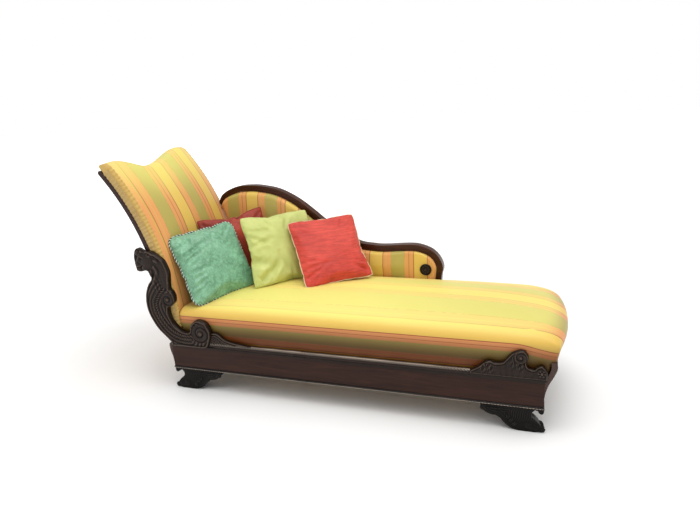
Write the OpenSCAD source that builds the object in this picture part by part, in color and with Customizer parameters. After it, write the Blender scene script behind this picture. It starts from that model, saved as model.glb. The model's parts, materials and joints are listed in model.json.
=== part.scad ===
// Fainting couch: a carved couch with a tall raked headrest, a half-length serpentine back,
// a long sprung seat that is open at the foot, paw feet and four loose pillows.
// X runs along the couch with the foot end at +X, Y runs from front to rear, Z is up.
// Inside the modules X is measured from the middle of the rails and Y from the front rail's face.

/* [Rails] */
// Length of the front and rear rails
rail_l = 1650; // [1500:10:1800]
// Depth from the front rail's face to the rear rail's face
rail_d = 650; // [600:5:720]
// Height of the flat face of a rail
rail_h = 99; // [90:1:120]
// Thickness of the front and rear rails
rail_t = 28; // [24:1:34]
// Height of the rails above the floor
floor_gap = 115; // [105:1:130]
// Height of the bead under the rails
bead_h = 10; // [7:0.5:13]
// How far the bead stands proud of the rail
bead_out = 5; // [3:0.5:8]
// Height of the plain fillet strip on top of the rail
fillet_h = 12; // [9:0.5:15]
// Height of the moulding above the fillet strip
mould_h = 22; // [16:0.5:28]
// How far the moulding stands proud of the rail
mould_out = 8; // [5:0.5:12]
// Width of the moulding from front to rear
mould_w = 18; // [14:0.5:22]

/* [End boards] */
// Thickness of the ogee boards at the head and foot
board_t = 22; // [18:1:26]
// How far the foot board flares out past the rails
foot_flare = 43; // [30:1:55]
// How far the foot board rises above the rails' flat face
foot_rise = 112; // [95:1:125]
// How far the head board flares out past the rails
head_flare = 15; // [8:1:22]

/* [Inner frame] */
// Side of a corner block
block_w = 70; // [55:1:85]
// Height of a corner block
block_h = 72; // [60:1:84]
// Width of a cross stretcher
stretcher_w = 45; // [35:1:55]
// Height of a cross stretcher
stretcher_h = 52; // [40:1:62]
// Diameter of a foot dowel
dowel_d = 16; // [12:1:20]
// Depth of a dowel in the foot and in its block
dowel_in = 35; // [25:1:42]

/* [Paw feet] */
// Length of a foot bracket along the rail
paw_l = 250; // [220:5:280]
// Depth of a foot bracket from front to rear
paw_d = 84; // [70:1:95]
// How far the toes reach past the end of the rail
paw_out = 9; // [4:1:16]
// Radius of a toe
toe_r = 12; // [10:0.5:14]

/* [Seat] */
// Height of the seat's front edge above the floor
seat_edge = 398; // [380:1:420]
// How far the crown of the seat rises above its edge
seat_crown = 50; // [30:1:60]
// How far the seat bulges past the rails at the foot
foot_bulge = 90; // [70:1:110]
// How far the foot end bows out in plan
foot_bow = 45; // [30:1:50]
// Height of the rolled edge of the seat
roll_h = 42; // [32:1:50]
// Width of the rolled edge at the front
roll_w = 44; // [34:1:56]
// Thickness of the stuffing above the springs
stuffing_t = 46; // [36:1:60]

/* [Springs] */
// Number of springs along the seat
spring_columns = 5; // [4:1:5]
// Number of springs from front to rear
spring_rows = 2; // [1:1:2]
// Radius of a spring at its ends
spring_r = 46; // [38:1:54]
// Radius of a spring at its waist
spring_waist = 32; // [26:1:36]
// Diameter of the spring wire
wire_d = 4; // [3:0.5:5]
// Number of turns in a spring
spring_turns = 3; // [3:1:4]
// Thickness of the webbing
web_t = 2; // [1.5:0.5:3]
// Width of a webbing strip
web_w = 60; // [50:1:70]
// Thickness of the burlap over the springs
burlap_t = 3; // [2:0.5:4]

/* [Headrest] */
// Height of the headrest's stiles above the floor
stile_top = 1014; // [960:2:1060]
// How far the headrest leans out past the rails
head_overhang = 267; // [240:1:320]
// Thickness of a stile from its outside edge to the padding
stile_t = 21; // [18:1:26]
// Width of a stile from front to rear
stile_w = 42; // [34:1:50]
// Thickness of the headrest's padding at its sides
head_pad = 38; // [28:1:44]
// Extra thickness of the headrest's padding in its middle
head_crown = 28; // [12:1:36]
// Depth of the scoop in the headrest's top
head_scoop = 48; // [20:1:60]
// How far the padding rises above the top of the stiles' line
head_rise = 9; // [6:1:20]
// How much higher the rear end of the headrest's top is than its front end
head_lift = 24; // [8:1:30]
// Height of a headrest cross rail
cross_h = 56; // [44:1:66]

/* [Scroll arms] */
// Length of the carved scroll
scroll_l = 351; // [330:1:370]
// Height of the carved scroll above the fillet strip
scroll_h = 461; // [430:1:480]
// Thickness of the carved scroll
scroll_t = 28; // [24:1:34]
// How far the lion's head stands proud of the scroll
relief = 14; // [10:1:18]
// Distance from the scroll's left edge to the end of the rail
scroll_out = 126; // [110:1:140]
// Length of the carved leaf at the foot
leaf_l = 288; // [260:1:300]
// Height of the carved leaf at the foot
leaf_h = 122; // [100:1:130]
// Thickness of the carved leaves
leaf_t = 20; // [16:1:24]

/* [Back] */
// Height of the serpentine crest above the floor
crest_top = 880; // [840:1:940]
// Distance from the head end of the rails to the small end of the back
back_l = 1173; // [1100:5:1250]
// Width of the crest rail's face
crest_w = 31; // [26:1:38]
// Depth of the crest rail from front to rear
crest_d = 46; // [40:1:52]
// Thickness of the back's padding
back_pad_t = 20; // [14:1:26]
// Crown of the back's padding
back_crown = 16; // [8:1:22]
// Radius of the turned rosette
rosette_r = 29; // [24:1:34]
// Thickness of the turned rosette
rosette_t = 12; // [8:1:16]

/* [Pillows] */
// Side of the teal pillow
teal_side = 337; // [330:1:360]
// Side of the rust pillow
rust_side = 345; // [330:1:360]
// Side of the lime pillow
lime_side = 350; // [340:1:370]
// Side of the coral pillow
coral_side = 344; // [340:1:370]
// Thickness of a pillow in its middle
pillow_t = 104; // [80:1:110]

/* [Hidden] */

// Clearance between pieces that touch
clear = 0.3;
// Overrun of a cut past a face
over = 1;
$fn = 48;

mahogany = [0.20, 0.11, 0.08];
mahogany_light = [0.30, 0.17, 0.12];
raw_wood = [0.72, 0.58, 0.40];
jute = [0.66, 0.55, 0.36];
steel = [0.50, 0.50, 0.52];
olive = [0.62, 0.60, 0.24];
gold = [0.86, 0.72, 0.30];
teal = [0.36, 0.66, 0.56];
rust = [0.68, 0.28, 0.16];
lime = [0.78, 0.82, 0.40];
coral = [0.85, 0.30, 0.24];

// Heights and ends that several pieces share
half_l = rail_l / 2;
rail_top = floor_gap + rail_h;
fillet_top = rail_top + fillet_h;
mould_top = fillet_top + mould_h;
board_top = rail_top + foot_rise;
mid_y = rail_d / 2;

// Curves and outlines
function lerp(a, b, t) = a + (b - a) * t;
function clamp(v) = min(1, max(0, v));
function smooth(v) = let (s = clamp(v)) s * s * (3 - 2 * s);
function unit(v) = v / norm(v);
function bezier(p, t) =
    p[0] * pow(1 - t, 3) + 3 * p[1] * t * pow(1 - t, 2) + 3 * p[2] * t * t * (1 - t) + p[3] * pow(t, 3);
function slope(p, t) =
    3 * (p[1] - p[0]) * pow(1 - t, 2) + 6 * (p[2] - p[1]) * t * (1 - t) + 3 * (p[3] - p[2]) * t * t;
function near(p, i) = p[min(len(p) - 1, max(0, i))];
function rom(a, b, c, d, t) =
    0.5 * (2 * b + (c - a) * t + (2 * a - 5 * b + 4 * c - d) * t * t + (3 * b - a - 3 * c + d) * pow(t, 3));
// A smooth line through chosen points, with steps between each pair
function through(p, steps) = concat(
    [for (i = [0:len(p) - 2]) for (s = [0:steps - 1])
        rom(near(p, i - 1), p[i], p[i + 1], near(p, i + 2), s / steps)],
    [p[len(p) - 1]]);
// The same for a closed outline
function round_trip(p, steps) = let (n = len(p))
    [for (i = [0:n - 1]) for (s = [0:steps - 1])
        rom(p[(i + n - 1) % n], p[i], p[(i + 1) % n], p[(i + 2) % n], s / steps)];
// The side of a line that lies to the right of its direction
function side_of(p, i) = let (d = unit(near(p, i + 1) - near(p, i - 1))) [d[1], -d[0]];
function beside(p, a) = [for (i = [0:len(p) - 1]) p[i] + a * side_of(p, i)];
function reversed(p) = [for (i = [len(p) - 1:-1:0]) p[i]];
function band(p, a, b) = concat(beside(p, a), reversed(beside(p, b)));
function arc(c, r, a0, a1, n) =
    [for (i = [0:n]) let (a = lerp(a0, a1, i / n)) c + r * [cos(a), sin(a)]];
function spiral(c, r0, r1, a0, turns, n) =
    [for (i = [0:n]) let (a = a0 + 360 * turns * i / n) c + lerp(r0, r1, i / n) * [cos(a), sin(a)]];
// A line held between two corners, without repeated points
function distinct(p) = let (n = len(p))
    [for (i = [0:n - 1]) if (norm(p[i] - p[(i + n - 1) % n]) > clear / 10) p[i]];
function held(p, low, high) = distinct([for (q = p)
    [min(high[0], max(low[0], q[0])), min(high[1], max(low[1], q[1]))]]);
function sized(shares, size) = [for (s = shares) [s[0] * size[0], s[1] * size[1]]];

// An outline in X and Z, given thickness between two depths
module plate(points, front, rear) {
    translate([0, rear, 0]) rotate([90, 0, 0]) linear_extrude(rear - front) polygon(points);
}
// A profile in Y and Z, run along the couch
module run_x(points, from, to) {
    translate([from, 0, 0]) rotate([90, 0, 90]) linear_extrude(to - from) polygon(points);
}
// A block between two corners
module block(low, high) {
    translate(low) cube(high - low);
}
module both_ends() {
    children();
    mirror([1, 0, 0]) children();
}
module rear_side() {
    translate([0, rail_d, 0]) mirror([0, 1, 0]) children();
}

// Closed skins made of triangles
function middle(ring) = [for (k = [0:2]) let (v = [for (p = ring) p[k]]) (min(v) + max(v)) / 2];
// A stack of rings, each with the same number of points, closed by a fan at each end
module loft(rings) {
    n = len(rings[0]);
    last = len(rings) - 1;
    points = concat([for (r = rings) for (p = r) p], [middle(rings[0]), middle(rings[last])]);
    walls = [for (i = [0:last - 1]) for (j = [0:n - 1])
        let (a = i * n + j, b = i * n + (j + 1) % n)
        for (f = [[a, a + n, b + n], [a, b + n, b]]) f];
    bottom = [for (j = [0:n - 1]) [n * (last + 1), j, (j + 1) % n]];
    top = [for (j = [0:n - 1]) [n * (last + 1) + 1, last * n + (j + 1) % n, last * n + j]];
    polyhedron(points, concat(walls, bottom, top));
}
// A pad with a front and a back grid that share their border
module slab(front, back) {
    rows = len(front);
    cols = len(front[0]);
    points = concat(
        [for (r = front) for (p = r) p],
        [for (r = [1:rows - 2]) for (c = [1:cols - 2]) back[r][c]]);
    function at(r, c) = r * cols + c;
    function behind(r, c) = (r == 0 || c == 0 || r == rows - 1 || c == cols - 1)
        ? at(r, c) : rows * cols + (r - 1) * (cols - 2) + c - 1;
    // Each square is cut so that the cut at a corner meets the corner
    function cut(a, b, c, d, same) = same ? [[a, d, c], [a, c, b]] : [[a, d, b], [b, d, c]];
    faces = [for (r = [0:rows - 2]) for (c = [0:cols - 2])
        let (same = (r < (rows - 1) / 2) == (c < (cols - 1) / 2))
        for (f = concat(cut(at(r, c), at(r, c + 1), at(r + 1, c + 1), at(r + 1, c), same),
            [for (g = cut(behind(r, c), behind(r, c + 1), behind(r + 1, c + 1), behind(r + 1, c), same))
                [g[0], g[2], g[1]]])) f];
    polyhedron(points, faces);
}

// Rails
module rail() {
    block([-half_l, 0, floor_gap], [half_l, rail_t, rail_top]);
}
module front_rail() {
    color(mahogany_light) rail();
}
module rear_rail() {
    color(mahogany_light) rear_side() rail();
}

// Bead under a rail's lower front corner, with a round nose
bead_w = 14;
module bead() {
    r = bead_h / 2;
    nose = arc([-bead_out + r, floor_gap - r - clear], r, 90, 270, 10);
    back = bead_w - bead_out;
    run_x(concat(nose, [[back, floor_gap - bead_h - clear], [back, floor_gap - clear]]), -half_l, half_l);
}
module front_bead() {
    color(mahogany) bead();
}
module rear_bead() {
    color(mahogany) rear_side() bead();
}

// Moulding on top of a rail: a plain fillet strip, and a cove with a bead above it
bead_shares = [0.5, 0.78];
module fillet_strip() {
    run_x([[-mould_out / 2, rail_top + clear], [mould_w - mould_out, rail_top + clear],
        [mould_w - mould_out, fillet_top], [-mould_out / 2, fillet_top]], -half_l, half_l);
}
module cove(from, to) {
    bead_r = mould_h * (1 - bead_shares[1]);
    bead_z = mould_top - bead_r;
    nose = arc([-mould_out + bead_r, bead_z], bead_r, 250, 90, 10);
    hollow = arc([-mould_out, lerp(fillet_top, mould_top, bead_shares[0] / 2)],
        mould_h * bead_shares[0] / 2, -80, 80, 8);
    back = mould_w - mould_out;
    foot = [[back, fillet_top - over], [-mould_out, fillet_top - over]];
    run_x(concat(foot, hollow, nose, [[back, mould_top]]), from, to);
}
cove_from = scroll_l - scroll_out - half_l + clear;
cove_to = half_l + paw_out - leaf_l - clear;
module front_moulding() {
    color(mahogany) {
        fillet_strip();
        cove(cove_from, cove_to);
    }
}
module rear_moulding() {
    color(mahogany) rear_side() {
        fillet_strip();
        cove(cove_from, cove_to);
    }
}

// End boards, with an ogee section notched over the ends of the rails
ogee_shares = [[0, 0], [0, 0.14], [0.08, 0.28], [0.34, 0.46],
    [0.72, 0.62], [0.94, 0.76], [1, 0.88], [0.96, 1]];
foot_line = through([for (s = ogee_shares)
    [half_l + s[0] * foot_flare, floor_gap + s[1] * (board_top - floor_gap)]], 4);
head_line = through([for (s = ogee_shares)
    [half_l + s[0] * head_flare, floor_gap + s[1] * (fillet_top - floor_gap)]], 4);
module end_board(line) {
    difference() {
        plate(held(band(line, 0, -board_t), [0, floor_gap], [rail_l, board_top]), 0, rail_d);
        for (y = [-over, rail_d - rail_t - clear])
            block([0, y, floor_gap - over],
                [half_l + clear, y + over + rail_t + clear, fillet_top + clear]);
    }
}
module foot_board() {
    color(mahogany) end_board(foot_line);
}
module head_board() {
    color(mahogany) mirror([1, 0, 0]) end_board(head_line);
}

// Blocks in the four corners of the frame, and stretchers between the rails
inner_x = half_l - board_t - clear;
inner_y = rail_t + clear;
dowel_x = half_l - board_t - block_w * 0.45;
dowel_y = rail_t + block_w * 0.32;
block_shares = [[0, 0], [1, 0], [1, 0.35], [0.35, 1], [0, 1]];
module corner_block() {
    difference() {
        translate([inner_x, inner_y, floor_gap]) mirror([1, 0, 0])
            linear_extrude(block_h) polygon(sized(block_shares, [block_w, block_w]));
        translate([dowel_x, dowel_y, floor_gap - over])
            cylinder(h = dowel_in + over + clear, d = dowel_d + 2 * clear);
    }
}
module corner_blocks() {
    color(raw_wood) both_ends() {
        corner_block();
        rear_side() corner_block();
    }
}
spring_pitch = rail_l * 0.15;
stretcher_x = 1.5 * spring_pitch;
module cross_stretchers() {
    color(raw_wood) both_ends()
        block([stretcher_x - stretcher_w / 2, inner_y, floor_gap + clear],
            [stretcher_x + stretcher_w / 2, rail_d - inner_y, floor_gap + clear + stretcher_h]);
}
module foot_dowels() {
    color(raw_wood) both_ends() for (y = [dowel_y, rail_d - dowel_y])
        translate([dowel_x, y, floor_gap - dowel_in]) cylinder(h = 2 * dowel_in, d = dowel_d);
}

// Carved paw feet: a winged bracket with a drop at its corner, an ankle, and four toes on a sole
paw_shares = [[0, 1], [0.02, 0.84], [0.09, 0.62], [0.17, 0.55], [0.26, 0.52], [0.33, 0.40],
    [0.40, 0.20], [0.48, 0.07], [0.57, 0], [0.86, 0], [0.93, 0.05], [0.94, 0.30], [0.88, 0.46],
    [0.80, 0.60], [0.79, 0.70], [0.80, 0.82], [0.84, 0.91], [0.885, 0.90], [0.90, 0.82],
    [0.925, 0.77], [0.955, 0.77], [0.975, 0.83], [0.98, 1]];
paw_left = half_l + paw_out - paw_l;
toe_count = 4;
toe_shares = [0.60, 0.90];
// Each roll of the fetlock: place along the paw, height and length
tuft_shares = [[0.44, 0.53, 0.86], [0.49, 0.405, 0.91], [0.54, 0.275, 0.96]];
module paw() {
    top = floor_gap - bead_h - 2 * clear;
    shape = [for (s = paw_shares) [paw_left + s[0] * paw_l, s[1] * top]];
    inset = bead_out / 2;
    gap = paw_d / toe_count;
    toe_from = paw_l * toe_shares[0];
    toe_to = paw_l * toe_shares[1] + paw_out - toe_r / 2;
    knuckle_x = paw_l * lerp(toe_shares[0], toe_shares[1], 0.72);
    difference() {
        union() {
            plate(shape, inset, paw_d - inset);
            // Bracket pads that fill up to the rail behind the bead
            block([paw_left, bead_w - bead_out + clear, top - over],
                [paw_left + paw_l * 0.98, paw_d - inset, floor_gap - clear]);
            // Four toes, each a knuckle that runs down to a claw
            for (i = [0:toe_count - 1]) translate([paw_left, gap * (i + 0.5), 0]) {
                translate([toe_from, 0, toe_r]) rotate([0, 90, 0])
                    cylinder(h = toe_to - toe_from, r = toe_r);
                translate([toe_to, 0, toe_r]) sphere(toe_r);
                translate([knuckle_x, 0, 2.1 * toe_r]) sphere(toe_r * 1.25);
            }
            // Fetlock tuft at the back of the ankle
            for (t = tuft_shares) translate([paw_left + paw_l * t[0], paw_d / 2, top * t[1]])
                rotate([90, 0, 0]) cylinder(h = paw_d * t[2], r = toe_r * 0.9, center = true);
        }
        translate([dowel_x, dowel_y, floor_gap - dowel_in - clear])
            cylinder(h = dowel_in + over, d = dowel_d + 2 * clear);
    }
}
module paw_front_right() {
    color(mahogany) paw();
}
module paw_front_left() {
    color(mahogany) mirror([1, 0, 0]) paw();
}
module paw_rear_right() {
    color(mahogany) rear_side() paw();
}
module paw_rear_left() {
    color(mahogany) rear_side() mirror([1, 0, 0]) paw();
}

// Headrest: everything follows one leaning line, measured by a share t up the stile
head_base = fillet_top + clear;
head_shares = [[0, 0], [0.02, 0.34], [0.25, 0.70], [1, 1]];
head_path = [for (s = head_shares) [-half_l - s[0] * head_overhang, lerp(head_base, stile_top, s[1])]];
function head_side(t) = let (d = unit(slope(head_path, t))) [d[1], -d[0]];
function head_at(t, n) = bezier(head_path, t) + n * head_side(t);
function head_line_at(n, from, to, steps) = [for (i = [0:steps]) head_at(lerp(from, to, i / steps), n)];
// Share up the stile at a height, from a fine table
head_table = [for (i = [0:40]) [bezier(head_path, i / 40)[1], i / 40]];
function head_share(z) = lookup(z, head_table);
// Face of the padding at its side edge, at a height
pad_face = stile_t + 6 * clear + head_pad;
function face_x(z) = let (t = head_share(z), low = head_at(t, pad_face), t2 = head_share(2 * z - low[1]))
    head_at(t2, pad_face)[0];

// The origin is under the middle of the whole couch, on the floor
head_tip = head_at(1, stile_t / 2);
place = [-(head_tip[0] - stile_t / 2 + half_l + foot_bulge) / 2, -mid_y, 0];
module set() {
    translate(place) children();
}
module stile(front, rear) {
    plate(band(head_line_at(0, 0, 1, 28), 0, stile_t), front, rear);
    translate([head_tip[0], rear, head_tip[1]]) rotate([90, 0, 0]) cylinder(h = rear - front, d = stile_t);
}
module stile_front() {
    color(mahogany) stile(clear, stile_w);
}
module stile_rear() {
    color(mahogany) stile(rail_d - stile_w, rail_d - clear);
}

// Scoop of the headrest's top between two humps, and the share up the stile that a height takes
hump_share = 0.09;
dip_share = 0.37;
top_slope = 3 * (head_path[3][1] - head_path[2][1]);
scoop_share = head_scoop / top_slope;
function scoop(y) = let (w = y / rail_d - dip_share,
    v = abs(w) / (w < 0 ? dip_share - hump_share : 1 - hump_share - dip_share))
    v < 1 ? 0.5 + 0.5 * cos(180 * v) : 0;
function top_line(y) = head_rise + head_lift * y / rail_d - head_scoop * scoop(y);
cross_from = stile_w + clear;
cross_to = rail_d - stile_w - clear;
cover_t = 2.5;
cross_n = cover_t + 2 * clear;
module headrest_top_rail() {
    t = 0.93;
    seat_pt = head_at(t, cross_n);
    d = head_side(t);
    tilt = atan2(d[1], d[0]);
    low = -cross_h * 0.45 - head_scoop / 2;
    scooped = concat([for (i = [0:16]) let (y = lerp(cross_from, cross_to, i / 16))
        [y, cross_h * 0.55 + top_line(y)]], [[cross_to, low], [cross_from, low]]);
    color(raw_wood) translate([seat_pt[0], 0, seat_pt[1]]) rotate([0, -tilt, 0])
        rotate([90, 0, 90]) linear_extrude((stile_t - cross_n) * 0.7) polygon(scooped);
}
module cross_bar(t, h) {
    line = head_line_at(0, t - h / 2, t + h / 2, 6);
    plate(band(line, cross_n, stile_t - web_t - clear), cross_from, cross_to);
}
cross_share = cross_h / (stile_top - head_base);
module headrest_cross_rail() {
    color(raw_wood) cross_bar(0.52, cross_share);
}
module headrest_base_rail() {
    color(raw_wood) cross_bar(cross_share / 2, cross_share * 0.8);
}
web_lines = 4;
module headrest_webbing() {
    gap = (cross_to - cross_from) / web_lines;
    color(jute) for (i = [0:web_lines - 1])
        plate(band(head_line_at(0, 0.02, 0.90, 24), stile_t - web_t, stile_t),
            cross_from + gap * (i + 0.5) - web_w / 2, cross_from + gap * (i + 0.5) + web_w / 2);
}
// Cloth over the outside of the headrest, cut to the scoop
module headrest_cover() {
    dip = 0.985 - 0.7 * scoop_share;
    color(olive) plate(band(head_line_at(0, 0.005, dip, 28), 0, cover_t), cross_from, cross_to);
}

// Padding of the headrest: rows up the stile, columns across from front to rear
head_row_shares = [0.012, 0.06, 0.14, 0.22, 0.32, 0.42, 0.52, 0.62, 0.72, 0.81, 0.89, 0.95];
// Rows over the top: share up the stile, share of the thickness, and how far the sides draw in
head_top_shares = [[0.985, 0.96, 0], [1.004, 0.76, 0.2], [1.012, 0.42, 0.46], [1.018, 0, 0.6]];
// Rows of the flat rear face, which need not follow the front
head_flat_shares = [0, 0.03, 0.1, 0.18, 0.27, 0.37, 0.47, 0.57, 0.67, 0.76, 0.84, 0.90, 0.94, 0.97,
    0.99, 1.005, 1.018];
head_fade_shares = [0.22, 0.5];
corner_r = head_pad * 0.42;
// Points across the padding: distance from the side, and share of the thickness
edge_points = [[0, 0], [corner_r * 0.05, 1 - corner_r / head_pad],
    [corner_r * 0.35, 1 - corner_r * 0.3 / head_pad]];
function across(inset, gap, cols) = let (a = inset + gap, b = rail_d - inset - gap) concat(
    [for (e = edge_points) [a + e[0], e[1]]],
    [for (i = [0:cols]) [lerp(a + corner_r, b - corner_r, i / cols), 1]],
    [for (e = reversed(edge_points)) [b - e[0], e[1]]]);
border_t = 3.5;
// How much of the crown shows at a height
function head_fade(t) = smooth((t - head_fade_shares[0]) / head_fade_shares[1]);
function head_row(t, thick, inset) = [for (c = across(inset, border_t + 2 * clear, 14))
    let (y = c[0], v = t + top_line(y) / top_slope * smooth((t - 0.6) / 0.4),
        bulge = head_crown * (1 - pow(abs(2 * y / rail_d - 1), 3.2)) * head_fade(t),
        p = head_at(v, stile_t + 6 * clear + c[1] * thick * (head_pad + bulge)))
    [p[0], y, p[1]]];
module headrest_pad() {
    front = concat([head_row(0, 0, 0)], [for (t = head_row_shares) head_row(t, 1, 0)],
        [for (s = head_top_shares) head_row(s[0], s[1], s[2] * corner_r)]);
    flat = [for (t = head_flat_shares) head_row(t, 0, 0.6 * corner_r * smooth((t - 0.97) / 0.048))];
    color(gold) slab(front, flat);
}
// Gathered border on the side of the headrest's padding
border_shares = [0.02, 0.985];
module border(front) {
    plate(band(head_line_at(0, border_shares[0], border_shares[1], 28), stile_t + 2 * clear,
        stile_t + head_pad * 0.72), front, front + border_t);
}
module border_front() {
    color(olive) border(clear);
}
module border_rear() {
    color(olive) border(rail_d - clear - border_t);
}

// Seat: springs stand on woven webbing, and burlap and stuffing go over them
web_low = floor_gap - 2 * (web_t + clear);
web_cross_x = [for (i = [1 - spring_columns:spring_columns - 1]) i * spring_pitch / 2];
web_along_y = [for (i = [0:2 * spring_rows]) lerp(rail_d * 0.2, rail_d * 0.8, i / (2 * spring_rows))];
// A strip that passes over and under the strips at the given places
function weave(from, to, places, phase) = let (half = web_w / 2 + 2 * web_t) concat([[from, 1]],
    [for (i = [0:len(places) - 1]) let (level = (i + phase) % 2)
        for (p = [[places[i] - half, level], [places[i] + half, level]]) p], [[to, 1]]);
function strip_line(w) = [for (p = w) [p[0], web_low + p[1] * (web_t + clear)]];
function strip_outline(w) = let (s = strip_line(w)) concat(s, [for (p = reversed(s)) p + [0, web_t]]);
spring_base = floor_gap;
web_end = half_l - board_t / 2;
module seat_webbing() {
    color(jute) {
        for (i = [0:len(web_cross_x) - 1])
            run_x(strip_outline(weave(bead_w - bead_out + clear, rail_d - bead_w + bead_out - clear,
                web_along_y, i % 2)), web_cross_x[i] - web_w / 2, web_cross_x[i] + web_w / 2);
        for (i = [0:len(web_along_y) - 1])
            plate(strip_outline(weave(-web_end, web_end, web_cross_x, (i + 1) % 2)),
                web_along_y[i] - web_w / 2, web_along_y[i] + web_w / 2);
    }
}

// Coil springs with a waist, each one unbroken wire
rings_per_turn = 8;
spring_top = seat_edge - stuffing_t - burlap_t - clear;
spring_h = spring_top - spring_base;
function coil(i) = let (n = spring_turns * rings_per_turn, t = i / n, a = 360 * spring_turns * t,
    r = lerp(spring_waist, spring_r, pow(2 * t - 1, 2)),
    z = wire_d / 2 + (spring_h - wire_d) * (t - 0.11 * sin(360 * t)))
    [r * cos(a), r * sin(a), z];
function coil_ring(i) =
    let (c = coil(i), t = unit(coil(i + 0.5) - coil(i - 0.5)), e = unit([c[0], c[1], 0]), b = cross(t, e))
    [for (j = [0:5]) c + wire_d / 2 * (cos(60 * j) * e + sin(60 * j) * b)];
coil_gap = min([for (i = [0:(spring_turns - 1) * rings_per_turn])
    norm(coil(i + rings_per_turn) - coil(i))]) - wire_d;
module spring() {
    loft([for (i = [0:spring_turns * rings_per_turn]) coil_ring(i)]);
}
echo(coil_gap = coil_gap);
module seat_springs() {
    color(steel) for (i = [0:spring_columns - 1]) for (j = [0:spring_rows - 1])
        translate([web_cross_x[2 * i], web_along_y[2 * j + 1], spring_base])
            spring();
}

// Outline of the seat at any level: four sides, four corner radii, and a height for each point
corner_steps = 4;
function corner(x, y, r, a0) = [for (i = [0:corner_steps]) let (a = a0 + 90 * i / corner_steps)
    [x + r * cos(a), y + r * sin(a)]];
function between(a, b, n) = [for (i = [1:n]) lerp(a, b, i / (n + 1))];
function seat_outline(xa, xb, ya, yb, r_head, r_front, r_rear) =
    let (fl = corner(xa + r_head, ya + r_head, r_head, 180),
        fr = corner(xb - r_front, ya + r_front, r_front, 270),
        rr = corner(xb - r_rear, yb - r_rear, r_rear, 0),
        rl = corner(xa + r_head, yb - r_head, r_head, 90))
    concat(fl, between(fl[corner_steps], fr[0], 9), fr, between(fr[corner_steps], rr[0], 3),
        rr, between(rr[corner_steps], rl[0], 9), rl, between(rl[corner_steps], fl[0], 3));

// The rear edge steps in where the back stands
frame_d = 18;
panel_y = rail_d - crest_d / 2;
web_back_y = panel_y - frame_d / 2 - web_t - clear;
back_end = back_l - half_l;
seat_rear = rail_d - rail_t / 4;
function rear_at(x) = lerp(min(web_back_y - back_pad_t, rail_d - crest_d) - 6 * clear, seat_rear,
    smooth((x - back_end - 2 * clear) / crest_d));
function step_in(p) = p[1] < mid_y ? p
    : [p[0], mid_y + (p[1] - mid_y) * (rear_at(p[0]) - mid_y) / (seat_rear - mid_y)];
seat_mid = (face_x(seat_edge) + half_l + foot_bulge) / 2;
seat_half = half_l + foot_bulge - seat_mid;
function bowed(p, k) = [p[0] - k * foot_bow * pow(abs(p[1] / mid_y - 1), 2.2)
    * smooth((p[0] - half_l * 0.6) / (half_l * 0.4)), p[1]];
function dome(x, y) = (1 - pow(clamp(abs(y / mid_y - 1)), 2.4))
    * (1 - pow(clamp(abs((x - seat_mid) / seat_half)), 5));
function seat_top(x, y) = seat_edge + seat_crown * dome(x, y);

// Inner face of the foot board at a height, for the seat's foot to follow
board_face = [for (p = beside(foot_line, -board_t)) [p[1], p[0]]];
wall_top = seat_edge - roll_h;
seat_low = rail_top + burlap_t + 2 * clear;
// Inset of the wall behind the moulding, and above it
low_inset = mould_w - mould_out + clear;
high_inset = 4 * clear;
function wall_level(k, inset) = let (z = lerp(seat_low, board_top, k))
    [z, lookup(z, board_face) - 2 * clear, inset];
// Each wall level: height, foot end, front inset, share of the bow
wall_levels = [
    concat(wall_level(0, low_inset), 0), concat(wall_level(0.42, low_inset), 0),
    concat(wall_level(0.72, 2 * high_inset), 0),
    [board_top - web_t, half_l + foot_flare - board_t - web_t, high_inset, 0],
    [board_top + web_t, half_l + foot_flare - 2 * web_t, high_inset, 0],
    [wall_top, half_l + foot_bulge, high_inset, 1]];
// Corner radii in plan: at the head, at the front of the foot, and at its rear
seat_r = [14, 12, 80];
function level_ring(w, xa) = [for (p = seat_outline(xa, w[1], w[2], seat_rear - w[2] / 2,
    seat_r[0], seat_r[1], seat_r[2])) let (q = step_in(bowed(p, w[3]))) [q[0], q[1], w[0]]];
roll_steps = [25, 50, 72, 90];
roll_foot = 105;
head_roll_share = 0.18;
function roll_ring(a) = let (k = 1 - cos(a),
    xa = face_x(wall_top + roll_h * sin(a)) + high_inset + roll_w * head_roll_share * k,
    o = seat_outline(xa, half_l + foot_bulge - roll_foot * k, high_inset + roll_w * k,
        seat_rear - roll_w * k * 0.6, seat_r[0], seat_r[1] * (1 + 3 * k), seat_r[2]))
    [for (p = o) let (q = step_in(bowed(p, 1))) [q[0], q[1], wall_top + roll_h * sin(a)
        + (seat_top(q[0], q[1]) - seat_edge) * sin(a)]];
top_shares = [0.1, 0.25, 0.42, 0.6, 0.78, 0.93];
function top_ring(s) = let (o = roll_ring(90)) [for (p = o)
    let (x = lerp(p[0], seat_mid + (p[0] - seat_mid) * 0.55, s), y = lerp(p[1], mid_y * 0.96, s))
    [x, y, seat_top(x, y)]];

// Height of the finished seat, with its rolled edges
function rolled(d) = let (k = clamp(d)) sqrt(k * (2 - k));
function seat_skin(x, y) = wall_top + (seat_top(x, y) - wall_top) * min(rolled((y - high_inset) / roll_w),
    rolled((x - face_x(seat_edge) - high_inset) / (roll_w * head_roll_share)));

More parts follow.
